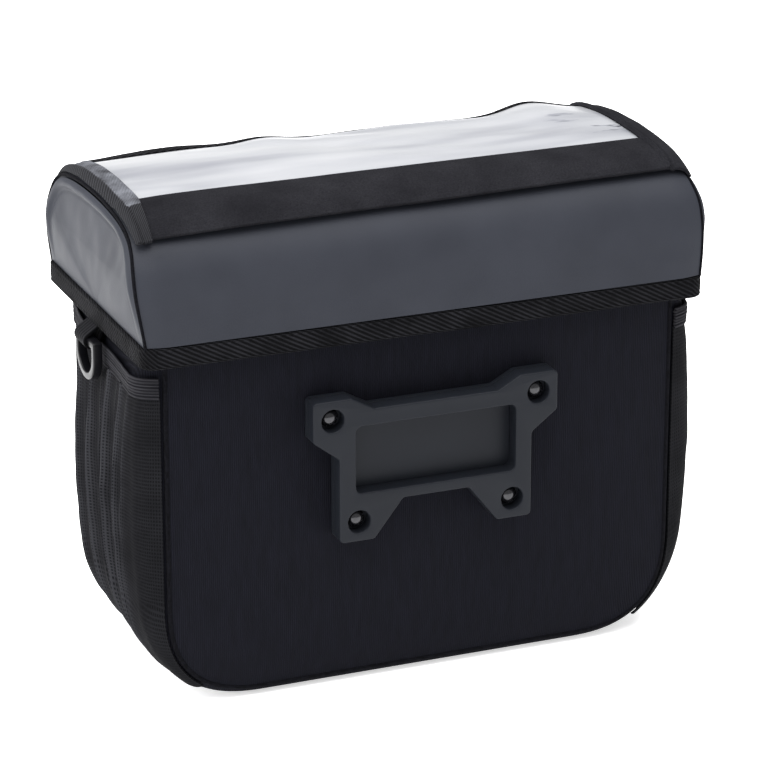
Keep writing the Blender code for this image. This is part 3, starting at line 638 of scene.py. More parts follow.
# Arch of the lid, near hem to far hem: place in depth, height, and swell of the end seams
LID_ARCH = (
    (-1.000, 0.000, 0.00),
    (-0.980, 0.200, 0.55),
    (-0.945, 0.420, 1.00),
    (-0.893, 0.620, 0.95),
    (-0.810, 0.765, 0.50),
    (-0.690, 0.870, 0.10),
    (-0.520, 0.945, 0.00),
    (-0.300, 0.985, 0.00),
    (-0.030, 1.000, 0.00),
    (0.240, 0.992, 0.00),
    (0.480, 0.965, 0.00),
    (0.670, 0.915, 0.05),
    (0.800, 0.830, 0.25),
    (0.890, 0.690, 0.60),
    (0.945, 0.500, 1.00),
    (0.980, 0.260, 0.75),
    (1.000, 0.000, 0.00),
)
lid_cloth = new_finish("lid_cloth", (0.024, 0.026, 0.032), 0.5, Specular_IOR_Level=0.12)
coat_grain = spots(lid_cloth, "Object", 1400.0, detail=1.0)
coat_tone = spots(lid_cloth, "Object", 26.0)
tint(lid_cloth, coat_tone, ((0.3, (0.0180, 0.0196, 0.0255)), (0.72, (0.0232, 0.0252, 0.0325))))
relief(lid_cloth, coat_grain, 0.06)
rough_range(lid_cloth, coat_tone, 0.45, 0.6)


def lid_arch(turn):
    """Place, height and end swell of the lid's arch at turns from 0, near, to 1, far."""
    last = len(LID_ARCH) - 1
    steps = [(index / last, *row) for index, row in enumerate(LID_ARCH)]
    y, rise, swell = (smooth_row(steps, column, turn) for column in (1, 2, 3))
    return y * LID_DEPTH / 2.0, rise * LID_RISE, swell * LID_END_SWELL


def lid_seam(turn):
    return LID_WIDTH / 2.0 - 2.0 + lid_arch(turn)[2]


def lid_point(x, turn, lift):
    """Point at a lift above the outer face of the lid's cover, which rounds off at its ends."""
    step = 0.002
    y, rise, _ = lid_arch(turn)
    y_before, rise_before, _ = lid_arch(np.maximum(turn - step, 0.0))
    y_after, rise_after, _ = lid_arch(np.minimum(turn + step, 1.0))
    length = np.hypot(y_after - y_before, rise_after - rise_before)
    along_y = (y_after - y_before) / length
    along_z = (rise_after - rise_before) / length
    past = np.maximum(0.0, np.abs(x) - lid_seam(turn) + LID_EDGE_RUN) / LID_EDGE_RUN
    out = lift - LID_EDGE_INSET * past * past
    z = HEM_TOP + GAP + rise + out * along_y
    return x, y - out * along_z, np.maximum(z, HEM_TOP + GAP)


def lid_turn(y):
    """Turns at which the arch reaches places y."""
    turns = np.linspace(0.0, 1.0, 801)
    return np.interp(y, lid_arch(turns)[0], turns)


def cover_place(u, v):
    side = np.sin(np.pi / 2.0 * (2.0 * u - 1.0) * 0.9) / np.sin(np.pi / 2.0 * 0.9)
    reach = lid_seam(v) - 0.4
    x = side * reach
    edge = (1.0 - np.abs(side) ** 16) * np.clip(v * 14.0, 0.0, 1.0) * np.clip((1.0 - v) * 14.0, 0.0, 1.0)
    y, rise, _ = lid_arch(v)
    sag = 0.5 * ripple(x, y, rise, 55.0, 1.0) + 0.22 * ripple(x * 0.5, y, rise, 20.0, 4.0)
    near_seam = np.exp(-((reach - np.abs(x)) / 16.0)) * (1.0 - np.abs(side) ** 16)
    crease = 0.35 * near_seam * ripple(rise * 1.4, y * 1.4, x * 0.25, 9.0, 8.0)
    return lid_point(x, v, edge * (sag - 0.25) + crease * np.clip(v * 14.0, 0.0, 1.0))


cover = lay_sheet("lid_cover_cloth", 150, 120, cover_place, (LID_WIDTH, LID_ARCH_RUN))
face_out(cover, (0.0, 0.0, 1.0))
give_wall(cover, 2.0)
hand_over(cover, lid_cloth, "lid_cloth", "lid_cover")

# Lid ends. A D-shaped panel of the same coated cloth closes each end of the lid. It is a little
# full, a narrow roll runs beside its seam, and its lower edge is caught in the hem.


def make_lid_end(side_sign, node):
    base = HEM_TOP + GAP

    def place(u, v):
        ring = np.sin(np.pi / 2.0 * v) ** 0.9
        seam = lid_seam(u)
        _, y, z = lid_point(seam, u, -1.3)
        z = base + ring * (z - base)
        y = ring * y
        z = z - 1.8 * np.clip(1.0 - (z - base) / 4.0, 0.0, 1.0)
        low = np.clip((z - base) / LID_RISE * 2.2, 0.0, 1.0)
        swell = 2.4 * (1.0 - ring ** 3) * low
        roll = (2.35 + 0.75 * side_sign) * np.exp(-(np.abs((ring - 0.955) / 0.036) ** 3)) * low
        valley = -0.2 * np.exp(-(((ring - 0.90) / 0.022) ** 2)) * low
        slant = 0.5 * y + z
        soft = ripple(y, side_sign * 10.0, z, 26.0, 6.0) + 0.4 * ripple(slant * 0.4, y, slant, 11.0, 9.0)
        middle = LID_WIDTH / 2.0 - 2.0
        x = middle + ring * (seam - middle) + 0.2 + swell + roll + valley
        x = x + soft * low * (1.0 - ring ** 14)
        return side_sign * x, y, z

    end = lay_sheet(node + "_cloth", 140, 90, place, (LID_ARCH_RUN, 62.0))
    weld(end)
    face_out(end, (side_sign, 0.0, 0.0))
    give_wall(end, 1.8)
    hand_over(end, lid_cloth, "lid_cloth", node)


make_lid_end(-1.0, "lid_end_left")
make_lid_end(1.0, "lid_end_right")

# Lid piping. A thin dark cord lies deep in the seam between the cover and each end, so the seam
# shows as a fine dark line between two rolls of grey cloth.
for side_sign, label in ((-1.0, "left"), (1.0, "right")):
    turns = np.linspace(0.0, 1.0, 121)
    seam_x, seam_y, seam_z = lid_point(side_sign * (lid_seam(turns) - 0.1), turns, 0.05)
    seam = list(zip(seam_x, seam_y, seam_z))
    seam.insert(0, (seam_x[0], seam_y[0] + 1.0, seam_z[0] - 2.0))
    seam.append((seam_x[-1], seam_y[-1] - 1.0, seam_z[-1] - 2.0))
    piping = make_cord("lid_piping_cord_" + label, seam, 0.7)
    hand_over(piping, cord_tape, "tape", "lid_piping_" + label)

# Lid hem. A twill tape, folded double, binds the lid's open edge all the way round, and its
# diagonal ribs show on the whole width.
HEM_HEIGHT = 10.0
HEM_WALL = 2.4
twill = new_finish("twill_tape", (0.01, 0.01, 0.012), 0.85, Specular_IOR_Level=0.06)
twill_ribs = placed_bands(twill, "UV", 1.9, turn=math.radians(60.0), distortion=0.3)
twill_threads = placed_bands(twill, "UV", 0.55, turn=math.radians(-40.0))
twill_weave = mixed(twill, "ADD", twill_ribs, mixed(twill, "MULTIPLY", twill_threads, 0.3))
twill_tone = mixed(twill, "MULTIPLY", twill_weave, spots(twill, "Object", 70.0))
tint(twill, twill_tone, ((0.22, (0.0008, 0.0008, 0.0012)), (0.66, (0.0135, 0.0135, 0.0160))))
relief(twill, twill_weave, 0.45)


def rounded_loop(half_x, half_y, radius, steps, spacing):
    """Points of a rectangle with round corners, evenly close together, and its outward ways."""
    points = []
    for corner_x, corner_y, start in ((1, 1, 0.0), (-1, 1, 90.0), (-1, -1, 180.0), (1, -1, 270.0)):
        for step in range(steps + 1):
            angle = math.radians(start + 90.0 * step / steps)
            away = Vector((math.cos(angle), math.sin(angle)))
            centre = Vector((corner_x * (half_x - radius), corner_y * (half_y - radius)))
            points.append((centre + away * radius, away))
    loop = []
    for index, (here, away) in enumerate(points):
        ahead, ahead_away = points[(index + 1) % len(points)]
        count = max(1, round((ahead - here).length / spacing))
        for step in range(count):
            share = step / count
            loop.append((here.lerp(ahead, share), away.lerp(ahead_away, share).normalized()))
    return loop


def make_hem():
    loop = rounded_loop(LID_WIDTH / 2.0, LID_DEPTH / 2.0, 7.0, 8, 2.2)
    loop.append(loop[0])
    centre = np.array([point for point, _ in loop])
    away = np.array([direction for _, direction in loop])
    run = np.concatenate(([0.0], np.cumsum(np.linalg.norm(np.diff(centre, axis=0), axis=1))))
    half = HEM_HEIGHT / 2.0
    edge = HEM_WALL / 2.0
    profile = [(0.0, half - edge), (0.0, -half + edge)]
    profile += [
        (-edge + edge * math.cos(turn), -half + edge - edge * math.sin(turn))
        for turn in np.linspace(0.3, math.pi - 0.3, 6)
    ]
    profile += [(-HEM_WALL, -half + edge), (-HEM_WALL, half - edge)]
    profile += [
        (-edge - edge * math.cos(turn), half - edge + edge * math.sin(turn))
        for turn in np.linspace(0.3, math.pi - 0.3, 6)
    ]
    outer = [(0.0, half - edge - (HEM_HEIGHT - HEM_WALL) * share) for share in np.linspace(0.0, 1.0, 9)]
    profile = np.array(outer + profile[2:] + profile[:1])
    around = np.concatenate(([0.0], np.cumsum(np.linalg.norm(np.diff(profile, axis=0), axis=1))))

    def place(u, v):
        column = np.rint(u * (len(loop) - 1)).astype(int)
        row = np.rint(v * (len(profile) - 1)).astype(int)
        out = profile[row, 0]
        up = profile[row, 1]
        at = centre[column]
        wave = 0.35 * ripple(at[:, 0], at[:, 1], 0.0, 38.0, 2.0)
        x = at[:, 0] + away[column, 0] * (out + 0.3 * wave)
        y = at[:, 1] + away[column, 1] * (out + 0.3 * wave)
        groove = np.where((row == 1) | (row == 7), 0.25, 0.0)
        return x - away[column, 0] * groove, y - away[column, 1] * groove, HEM_TOP - half + up + wave

    hem = lay_sheet("lid_hem_tape", len(loop) - 1, len(profile) - 1, place, (run[-1], around[-1]))
    weld(hem)
    face_out(hem, (0.0, 0.0, 1.0))
    bpy.ops.object.mode_set(mode="EDIT")
    bpy.ops.mesh.select_all(action="SELECT")
    bpy.ops.mesh.normals_make_consistent(inside=False)
    bpy.ops.object.mode_set(mode="OBJECT")
    bpy.ops.object.shade_smooth_by_angle(angle=math.radians(50.0))
    hand_over(hem, twill, "tape", "lid_hem")


make_hem()

# Lid hinge. A plain flap of the body's polyester goes up under the far hem and joins the lid to
# the front panel. Its lower part shows below the hem, close over the panel.
HINGE_WIDTH = 216.0
HINGE_LOW = 148.0
HINGE_HEIGHT = 28.0


def hinge_place(u, v):
    x = HINGE_WIDTH * (u - 0.5)
    z = HINGE_LOW + HINGE_HEIGHT * v
    crown = PANEL_CROWN * (1.0 - (x / (BODY_WIDTH / 2.0)) ** 4)
    low = PANEL_FACE + crown + PANEL_EDGE_RISE + 0.9 + 1.0
    share = np.clip((z - 156.0) / 12.0, 0.0, 1.0)
    share = share * share * (3.0 - 2.0 * share)
    return x, low + share * (67.3 - low), z


hinge = lay_sheet("lid_hinge_flap", 40, 24, hinge_place, (HINGE_WIDTH, HINGE_HEIGHT))
face_out(hinge, (0.0, 1.0, 0.0))
give_wall(hinge, 1.0, 0.3)
hand_over(hinge, panel_cloth, "panel_cloth", "lid_hinge")

# Map window. A sheet of soft clear film is sewn to the cloth strips at its near and short sides and
# stands open in shallow waves along its far edge. Its milky colour carries painted reflections and the
# painted shade of its wrinkles, as grey streaks that grow darker near its right end.
FILM_WAVE = 3.6
MAP_LEFT = 132.2
MAP_RIGHT = 124.0
MAP_NEAR = 54.2
MAP_FAR = 53.0
STRIP_WIDTH = 31.2
BINDING_WIDTH = 10.7
FAR_WIDTH = 6.0
# What the near edge gains over the arch from its left end to its right
NEAR_SLANT = 0.021
# Lifts of the far edge: place and half width as shares of half the window, rise of the film
WINDOW_LIFTS = (
    (-0.62, 0.30, 0.20),
    (-0.29, 0.70, 0.11),
    (0.22, 0.25, 0.20),
    (0.80, 1.45, 0.13),
)
film = new_finish(
    "window_film", (0.30, 0.305, 0.32), 0.3, Coat_Weight=0.25, Coat_Roughness=0.1, IOR=1.45
)
# Painted shade and painted reflections: stretched noise streaks that turn the milky film grey in places.
film_haze_and_painted_shade = spots(film, "Object", 17.0, stretch=(0.4, 1.9, 1.0))
film_place = add_node(film, "ShaderNodeTexCoord")
film_axes = add_node(film, "ShaderNodeSeparateXYZ")
right_end = add_node(film, "ShaderNodeMapRange", values={"From Min": 0.090, "From Max": 0.112})
streaks = add_node(film, "ShaderNodeMapRange", values={"From Min": 0.62, "From Max": 0.70})
join_nodes(
    film,
    (film_place.outputs["Object"], film_axes.inputs["Vector"]),
    (film_axes.outputs["X"], right_end.inputs["Value"]),
    (spots(film, "Object", 95.0, stretch=(0.5, 1.6, 1.0)), streaks.inputs["Value"]),
)
# Painted crease shade: darker streaks towards the film's right end.
painted_dark_streaks = mixed(film, "MULTIPLY", right_end.outputs["Result"], streaks.outputs["Result"])
film_haze_and_painted_shade = mixed(film, "SUBTRACT", film_haze_and_painted_shade, mixed(film, "MULTIPLY", painted_dark_streaks, 0.4))
film_tone_and_shade_stops = (
    (0.10, (0.015, 0.016, 0.022)),
    (0.32, (0.135, 0.14, 0.160)),
    (0.48, (0.235, 0.24, 0.256)),
    (0.66, (0.30, 0.303, 0.315)),
)
tint(film, film_haze_and_painted_shade, film_tone_and_shade_stops)


def window_lift(x, y):
    """Height of the film above the lid, loose along its far edge."""
    share = np.maximum(0.0, (y + MAP_NEAR) / (MAP_NEAR + MAP_FAR))
    rise = 0.0 * x
    for at, height, width in WINDOW_LIFTS:
        rise = rise + height * np.exp(-(((x / MAP_RIGHT - at) / width) ** 2))
    return GAP + FILM_WAVE * rise * share ** 3


def map_piece(name, columns, rows, x_range, y_range, lift, slant=0.0, narrow=0.0):
    """Sheet over the lid between two places in x and in y, at a lift above the cover."""
    turns = lid_turn(np.array(y_range))

    def place(u, v):
        turn = turns[0] + (turns[1] - turns[0]) * v + slant * u * (1.0 - v)
        near = np.clip((STRIP_WIDTH - MAP_NEAR - lid_arch(turn)[0]) / STRIP_WIDTH, 0.0, 1.0)
        x = x_range[0] + (x_range[1] - x_range[0]) * u * (1.0 - narrow * near)
        return lid_point(x, turn, lift(x, lid_arch(turn)[0], u, v))

    size = (x_range[1] - x_range[0], y_range[1] - y_range[0])
    sheet = lay_sheet(name, columns, rows, place, size)
    face_out(sheet, (0.0, 0.0, 1.0))
    return sheet


def film_lift(x, y, u, v):
    inner = np.sin(np.pi * u) ** 0.5 * np.sin(np.pi * np.clip(v, 0.0, 1.0)) ** 0.5
    slant = 0.3 * x + y
    waves = 1.5 * ripple(slant, x * 0.16, 0.0, 22.0, 3.0)
    fine = 0.5 * ripple(slant * 0.9, x * 0.25, 0.0, 9.0, 5.0)
    return window_lift(x, y) + 0.8 + inner * (0.9 + waves + fine)


window_x = (-MAP_LEFT + BINDING_WIDTH - 2.0, MAP_RIGHT + 2.0)
window_y = (STRIP_WIDTH - MAP_NEAR - 2.0, MAP_FAR - 3.0)
window = map_piece("map_window_film", 170, 60, window_x, window_y, film_lift)
give_wall(window, 0.4)
hand_over(window, film, "window_film", "map_window")

# Near strip. A wide strip of the body's polyester, doubled over, borders the window on the
# rider's side. Its lower edge is free and stands off the lid with a shadow under it.
strip_cloth = new_finish("strip_cloth", (0.01, 0.01, 0.012), 0.9, Specular_IOR_Level=0.04)
strip_weave = spots(strip_cloth, "Object", 1500.0, detail=1.0)
strip_wear = spots(strip_cloth, "Object", 38.0)
strip_tone = mixed(strip_cloth, "MULTIPLY", strip_weave, strip_wear)
tint(strip_cloth, strip_tone, ((0.10, (0.0045, 0.0045, 0.0058)), (0.42, (0.0135, 0.0135, 0.0160))))
relief(strip_cloth, strip_weave, 0.08)


def strip_lift(x, y, u=0.0, v=0.0):
    loose = np.maximum((STRIP_WIDTH - MAP_NEAR - y) / STRIP_WIDTH, 0.0)
    puff = 0.7 * np.sin(np.pi * np.clip(loose, 0.0, 1.0))
    wave = 0.5 * ripple(x, y, 0.0, 30.0, 4.0)
    sunk = 1.1 * np.exp(-(((x + 130.0) / 16.0) ** 2))
    return GAP + 1.7 + 2.3 * loose ** 2 + puff + wave * (0.35 + 0.65 * loose) - sunk


strip_x = (-MAP_LEFT + BINDING_WIDTH - 1.5, MAP_RIGHT + 1.5)
near_x = (strip_x[0] - 5.5, strip_x[1])
near_y = (-MAP_NEAR, STRIP_WIDTH - MAP_NEAR)
near = map_piece("map_strip_near_cloth", 150, 28, near_x, near_y, strip_lift, slant=NEAR_SLANT)
give_wall(near, 1.5, 0.45)
hand_over(near, strip_cloth, "panel_cloth", "map_strip_near")

# Far and left bindings. Narrow twill tape is folded round the film's free far edge, and a wider
# one round the pocket's left side down to the lid's near corner. The wider tape is ribbed on its
# outer part and worn grey on its inner part.


def far_lift(x, y, u, v):
    stand = 2.2 * np.exp(-(((x + 85.0) / 42.0) ** 2)) * v
    return window_lift(x, y) + 1.75 + stand + 0.15 * ripple(x, y, 0.0, 12.0, 1.0)


far = map_piece("map_binding_far_tape", 150, 6, strip_x, (MAP_FAR - FAR_WIDTH, MAP_FAR), far_lift)
give_wall(far, 1.5, 0.5)
hand_over(far, twill, "tape", "map_binding_far")


worn_tape = new_finish("worn_tape", (0.01, 0.01, 0.012), 0.7, Specular_IOR_Level=0.1)
tape_place = add_node(worn_tape, "ShaderNodeTexCoord")
tape_axes = add_node(worn_tape, "ShaderNodeSeparateXYZ")
worn_side = add_node(worn_tape, "ShaderNodeMapRange", values={"From Min": 0.0038, "From Max": 0.0050})
above_patch = add_node(worn_tape, "ShaderNodeMapRange", values={"From Min": 0.0295, "From Max": 0.0305})
join_nodes(
    worn_tape,
    (tape_place.outputs["UV"], tape_axes.inputs["Vector"]),
    (tape_axes.outputs["X"], worn_side.inputs["Value"]),
    (tape_axes.outputs["Y"], above_patch.inputs["Value"]),
)
worn = mixed(worn_tape, "MULTIPLY", worn_side.outputs["Result"], above_patch.outputs["Result"])
tape_ribs = placed_bands(worn_tape, "UV", 1.25, turn=math.radians(35.0), distortion=0.6)
wear_marks = mixed(worn_tape, "MULTIPLY", spots(worn_tape, "Object", 90.0), 1.6)
tape_tone = mixed(worn_tape, "MULTIPLY", tape_ribs, mixed(worn_tape, "SUBTRACT", 1.0, worn))
tape_tone = mixed(worn_tape, "MULTIPLY", tape_tone, 0.45)
grey_part = mixed(worn_tape, "MULTIPLY", worn, wear_marks)
tape_tone = mixed(worn_tape, "ADD", tape_tone, grey_part)
tape_stops = (
    (0.02, (0.003, 0.003, 0.004)),
    (0.45, (0.0165, 0.0170, 0.0200)),
    (1.0, (0.100, 0.104, 0.118)),
)
tint(worn_tape, tape_tone, tape_stops)
relief(worn_tape, tape_ribs, 0.25)


def left_lift(x, y, u, v):
    flat = np.maximum(window_lift(x, y) + 1.7, strip_lift(x, y))
    fold = 0.9 * np.exp(-(((u - 0.22) / 0.2) ** 2)) - 0.5 * np.exp(-(((u - 0.5) / 0.07) ** 2))
    patch = 0.9 / (1.0 + np.exp((y + 25.0) / 0.8))
    curl = np.maximum(1.0 - u / 0.25, 0.0) ** 2
    return flat + fold + patch + 0.2 - 1.2 * curl + 0.3 * ripple(x, y, 0.0, 15.0, 6.0)


left_x = (-MAP_LEFT - 1.4, -MAP_LEFT + BINDING_WIDTH)
left_y = (-MAP_NEAR - 1.0, MAP_FAR + 4.0)
left = map_piece("map_binding_left_tape", 30, 150, left_x, left_y, left_lift, narrow=0.4)
give_wall(left, 1.8, 0.6)
hand_over(left, worn_tape, "tape", "map_binding_left")

# Right strip. The pocket's right border is a strip of the polyester that reaches the end seam of
# the lid and turns down a little along it, with a rolled seam on its inner edge.


def right_place(u, v):
    turns = lid_turn(np.array((-MAP_NEAR, MAP_FAR)))
    turn = turns[0] + (turns[1] - turns[0]) * v + NEAR_SLANT * (1.0 - v)
    ridge = 0.66
    y = lid_arch(turn)[0]
    over = np.minimum(u / ridge, 1.0)
    down = np.maximum(0.0, (u - ridge) / (1.0 - ridge))
    flat = np.maximum(window_lift(0.0 * y + MAP_RIGHT, y) + 1.6, strip_lift(0.0 * y + MAP_RIGHT, y))
    roll = 1.6 * np.exp(-(((u - 0.10) / 0.06) ** 2)) - 1.1 * np.exp(-(((u - 0.25) / 0.05) ** 2))
    rise = flat + (3.3 - flat) * over * over + roll + 0.35 * ripple(u * 15.0, y, 0.0, 14.0, 2.0)
    x = MAP_RIGHT - 1.0 + 14.2 * (u - 0.05 * down * down)
    _, y_skin, z_skin = lid_point(np.minimum(x, lid_seam(turn)), turn, rise)
    return x, y_skin, z_skin - 3.4 * down * down


right = lay_sheet("map_strip_right_cloth", 36, 120, right_place, (22.0, 110.0))
face_out(right, (0.0, 0.0, 1.0))
give_wall(right, 1.5, 0.45)
hand_over(right, strip_cloth, "panel_cloth", "map_strip_right")

# Ring tabs. Ribbed tape is folded round each ring's bar, and both of its ends go up under the
# lid's hem, where they are sewn flat to the gusset.
RING_AXIS = (138.391, 161.0)
LOOP_RADIUS = 2.69
TAB_WIDTH = 14.0
TAB_SHIFT = 2.5
TAB_SEAT = 124.1
TAB_TOP = 178.0
TAB_BEND = 172.0
tab_tape = new_finish("tab_tape", (0.006, 0.006, 0.008), 0.8, Specular_IOR_Level=0.06)
tab_ribs = placed_bands(tab_tape, "UV", 2.4, direction="Y")
tint(tab_tape, tab_ribs, ((0.1, (0.0015, 0.0015, 0.002)), (0.9, (0.0100, 0.0100, 0.0120))))
relief(tab_tape, tab_ribs, 0.3)


def make_tab(side_sign, node):
    wall = 1.2
    centre = Vector(RING_AXIS)
    turn_height = 168.6
    inner = TAB_SEAT + 1.0 + GAP + wall + float(side_swell(np.array(turn_height)))
    outer = inner + GAP
    angles = []
    for foot, way in ((Vector((inner, turn_height)), 1.0), (Vector((outer, turn_height)), -1.0)):
        away = foot - centre
        angles.append(math.atan2(away.y, away.x) + way * math.acos(LOOP_RADIUS / away.length))
    first, last = angles[0], angles[1] + 2.0 * math.pi
    route = [(inner, TAB_TOP), (inner, TAB_BEND), (inner, turn_height)]
    for angle in np.linspace(first, last, 33):
        route.append(tuple(centre + LOOP_RADIUS * Vector((math.cos(angle), math.sin(angle)))))
    route += [(outer, turn_height), (outer, TAB_BEND), (outer, TAB_TOP)]
    route = np.array(route)
    run = np.concatenate(([0.0], np.cumsum(np.linalg.norm(np.diff(route, axis=0), axis=1))))

    def place(u, v):
        at = u * run[-1]
        x = np.interp(at, run, route[:, 0])
        z = np.interp(at, run, route[:, 1])
        return side_sign * x, TAB_SHIFT + TAB_WIDTH * (v - 0.5), z

    tab = lay_sheet(node + "_tape", 90, 20, place, (run[-1], TAB_WIDTH))
    face_out(tab, (0.0, 0.0, 1.0))
    give_wall(tab, wall, 0.35)
    hand_over(tab, tab_tape, "tape", node)


make_tab(-1.0, "ring_tab_left")
make_tab(1.0, "ring_tab_right")

# D-rings. Each is moulded in glossy black plastic in one piece, a straight bar in the tape's
# loop and a round bow that hangs from it.
RING_LIMB = 3.2
RING_THICKNESS = 4.4
RING_INNER_WIDTH = 20.0
RING_INNER_HEIGHT = 14.0
ring_plastic = new_finish("ring_plastic", (0.003, 0.003, 0.004), 0.3, Specular_IOR_Level=0.16)
ring_grain = spots(ring_plastic, "Object", 300.0)
rough_range(ring_plastic, ring_grain, 0.26, 0.38)
relief(ring_plastic, ring_grain, 0.02)


def flat_outline(name, outlines, thickness, edge, steps):
    """Flat piece in the XY plane from closed outlines, its edges rounded over, as a mesh."""
    shape = bpy.data.curves.new(name, "CURVE")
    shape.dimensions = "2D"
    shape.fill_mode = "BOTH"
    shape.extrude = (thickness / 2.0 - edge) * MM
    shape.bevel_depth = edge * MM
    shape.bevel_resolution = steps
    shape.offset = -edge * MM
    for outline in outlines:
        spline = shape.splines.new("POLY")
        spline.points.add(len(outline) - 1)
        for knot, (x, y) in zip(spline.points, outline):
            knot.co = (x * MM, y * MM, 0.0, 1.0)
        spline.use_cyclic_u = True
    piece = mesh_of_curve(name, shape)
    weld(piece, 0.002)
    return piece


def set_in_place(piece, matrix):
    """The turn and place go into the mesh, and the object stays at the origin."""
    piece.data.transform(matrix)
    piece.data.update()


for side_sign, label in ((-1.0, "left"), (1.0, "right")):
    outlines = []
    for grow in (RING_LIMB, 0.0):
        half = RING_INNER_WIDTH / 2.0 + grow
        top = -RING_LIMB / 2.0 + grow
        bow = RING_INNER_HEIGHT + grow + RING_LIMB / 2.0
        corner = 1.4 if grow else 0.6
        outline = []
        for middle, start in ((half - corner, 0.0), (corner - half, 1.0)):
            for step in range(7):
                angle = math.pi / 2.0 * (start + step / 6.0)
                across = middle + corner * math.cos(angle)
                outline.append((across, top - corner + corner * math.sin(angle)))
        for step in range(49):
            angle = math.pi * step / 48.0
            deep = 0.35 * bow + 0.65 * bow * math.sin(angle)
            outline.append((-half * math.cos(angle), -deep))
        outlines.append(outline)
    ring = flat_outline("d_ring_moulding_" + label, outlines, RING_THICKNESS, 0.6, 3)
    upright = Matrix(((0, 0, 1), (1, 0, 0), (0, 1, 0))).to_4x4()
    place = Matrix.Translation((side_sign * RING_AXIS[0] * MM, 0.0, RING_AXIS[1] * MM))
    set_in_place(ring, place @ upright)
    bpy.ops.object.shade_smooth_by_angle(angle=math.radians(30.0))
    hand_over(ring, ring_plastic, "ring_plastic", "d_ring_" + label, body="ring_" + label)

# Mounting plate. One grey plastic moulding with four lobes, a recess for the adapter's catch and
# a deep bore for a screw in each lobe. Its front edges are rounded over.
PLATE_FRONT = 75.7
PLATE_THICKNESS = 11.0
HOLE_ROW_HEIGHT = 134.8
HOLE_SPAN_TOP = 100.0
HOLE_SPAN_LOW = 75.0
HOLE_RISE = 50.0
HOLE_DEPTH = 6.0
BORE_RADIUS = 5.4
LOBE_MARGIN = 9.4
WINDOW_DEPTH = 8.5
RECESS_HALF_WIDTH = 39.0
RECESS_HALF_HEIGHT = 16.0
plate_plastic = new_finish("plate_plastic", (0.012, 0.013, 0.017), 0.4, Specular_IOR_Level=0.1)
plate_grain = spots(plate_plastic, "Object", 2200.0, detail=1.0)
plate_tone = spots(plate_plastic, "Object", 30.0)
tint(plate_plastic, plate_tone, ((0.3, (0.0072, 0.0082, 0.0110)), (0.7, (0.0090, 0.0103, 0.0135))))
relief(plate_plastic, plate_grain, 0.03)
rough_range(plate_plastic, plate_tone, 0.36, 0.5)


def rounded_outline(corners, radius, steps):
    """Closed outline through the corners, each one rounded by an arc of the radius."""
    outline = []
    count = len(corners)
    for index in range(count):
        here = Vector(corners[index])
        back = (Vector(corners[index - 1]) - here).normalized()
        ahead = (Vector(corners[(index + 1) % count]) - here).normalized()
        half = back.angle(ahead) / 2.0
        reach = radius / math.tan(half)
        centre = here + (back + ahead).normalized() * radius / math.sin(half)
        start = here + back * reach - centre
        turn = start.angle_signed(here + ahead * reach - centre)
        for step in range(steps + 1):
            arm = Vector(start)
            arm.rotate(Matrix.Rotation(-turn * step / steps, 2))
            outline.append(tuple(centre + arm))
    return outline


ear = HOLE_SPAN_TOP / 2.0 + LOBE_MARGIN
neck = HOLE_SPAN_LOW / 2.0 + LOBE_MARGIN
foot = HOLE_ROW_HEIGHT - HOLE_RISE - LOBE_MARGIN
half_plate = (
    (ear - 29.3, HOLE_ROW_HEIGHT + 3.4),
    (ear - 18.3, HOLE_ROW_HEIGHT + LOBE_MARGIN),
    (ear, HOLE_ROW_HEIGHT + LOBE_MARGIN),
    (ear, HOLE_ROW_HEIGHT - LOBE_MARGIN),
    (neck, HOLE_ROW_HEIGHT - 19.0),
    (neck, foot),
    (neck - 16.8, foot),
    (neck - 30.8, HOLE_ROW_HEIGHT - 41.5),
)
plate_corners = [(-x, z) for x, z in reversed(half_plate)] + list(half_plate)
plate_outline = rounded_outline(plate_corners, 2.2, 6)
recess_middle = HOLE_ROW_HEIGHT - 4.4 - RECESS_HALF_HEIGHT
recess_corners = [
    (x * RECESS_HALF_WIDTH, recess_middle + z * RECESS_HALF_HEIGHT)
    for x, z in ((1, 1), (-1, 1), (-1, -1), (1, -1))
]
recess_outline = rounded_outline(recess_corners, 3.0, 6)
hole_places = (
    ("top_left", -HOLE_SPAN_TOP / 2.0, HOLE_ROW_HEIGHT),
    ("top_right", HOLE_SPAN_TOP / 2.0, HOLE_ROW_HEIGHT),
    ("low_left", -HOLE_SPAN_LOW / 2.0, HOLE_ROW_HEIGHT - HOLE_RISE),
    ("low_right", HOLE_SPAN_LOW / 2.0, HOLE_ROW_HEIGHT - HOLE_RISE),
)


def ring_of(x, z, radius):
    turns = [2.0 * math.pi * step / 40 for step in range(40)]
    return [(x + radius * math.cos(turn), z + radius * math.sin(turn)) for turn in turns]


def upright_at(y):
    return Matrix.Translation((0.0, y * MM, 0.0)) @ Matrix.Rotation(math.pi / 2.0, 4, "X")


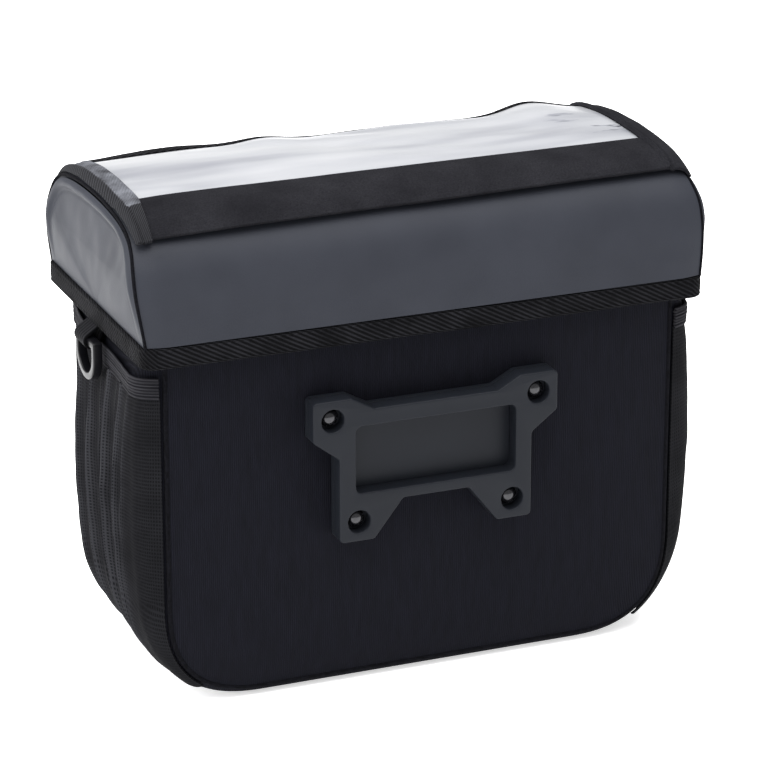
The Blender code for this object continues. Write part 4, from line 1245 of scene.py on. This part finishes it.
bores = [ring_of(x, z, BORE_RADIUS) for _, x, z in hole_places]
face_outlines = [plate_outline, recess_outline] + bores
face_plate = flat_outline("mount_plate_moulding", face_outlines, WINDOW_DEPTH, 0.7, 3)
set_in_place(face_plate, upright_at(-PLATE_FRONT + WINDOW_DEPTH / 2.0))
base_depth = PLATE_THICKNESS - WINDOW_DEPTH
base_plate = flat_outline("plate_base", [plate_outline], base_depth, 0.05, 0)
set_in_place(base_plate, upright_at(-PLATE_FRONT + WINDOW_DEPTH + base_depth / 2.0 - 0.1))
plate_parts = [base_plate]
for label, x, z in hole_places:
    seat_outline = ring_of(x, z, BORE_RADIUS + 0.5)
    seat = flat_outline("seat_" + label, [seat_outline], WINDOW_DEPTH - HOLE_DEPTH, 0.02, 0)
    set_in_place(seat, upright_at(-PLATE_FRONT + (WINDOW_DEPTH + HOLE_DEPTH) / 2.0))
    plate_parts.append(seat)
bpy.ops.object.select_all(action="DESELECT")
for part in plate_parts + [face_plate]:
    part.select_set(True)
bpy.context.view_layer.objects.active = face_plate
bpy.ops.object.join()
bpy.ops.object.shade_smooth_by_angle(angle=math.radians(25.0))
hand_over(face_plate, plate_plastic, "plate_plastic", "mount_plate")

# Screws. A black button-head screw sits on the step of each bore. Its head is a smooth polished
# dome.
SCREW_RADIUS = 4.3
SCREW_DOME = 3.0
screw_black = new_finish("screw_black", (0.010, 0.010, 0.012), 0.2, Metallic=0.7, Coat_Weight=0.5)
screw_wear = spots(screw_black, "Object", 700.0)
rough_range(screw_black, screw_wear, 0.14, 0.3)
tint(screw_black, screw_wear, ((0.3, (0.008, 0.008, 0.010)), (0.8, (0.022, 0.022, 0.026))))

for label, x, z in hole_places:
    bpy.ops.object.select_all(action="DESELECT")
    bpy.ops.mesh.primitive_uv_sphere_add(segments=40, ring_count=20, radius=SCREW_RADIUS * MM)
    head = bpy.context.object
    head.name = "screw_head_" + label
    bpy.ops.object.mode_set(mode="EDIT")
    bpy.ops.mesh.select_all(action="SELECT")
    bpy.ops.mesh.bisect(plane_co=(0, 0, 0), plane_no=(0, 0, 1), clear_inner=True, use_fill=True)
    bpy.ops.object.mode_set(mode="OBJECT")
    for vertex in head.data.vertices:
        step_up = 0.2 * MM if vertex.co.z > 0.0001 else 0.0
        vertex.co.z = vertex.co.z * SCREW_DOME / SCREW_RADIUS + step_up
    seat = -PLATE_FRONT + HOLE_DEPTH - 0.1
    set_in_place(head, Matrix.Translation((x * MM, 0.0, z * MM)) @ upright_at(seat))
    bpy.ops.object.shade_smooth_by_angle(angle=math.radians(40.0))
    hand_over(head, screw_black, "screw_black", "screw_" + label)
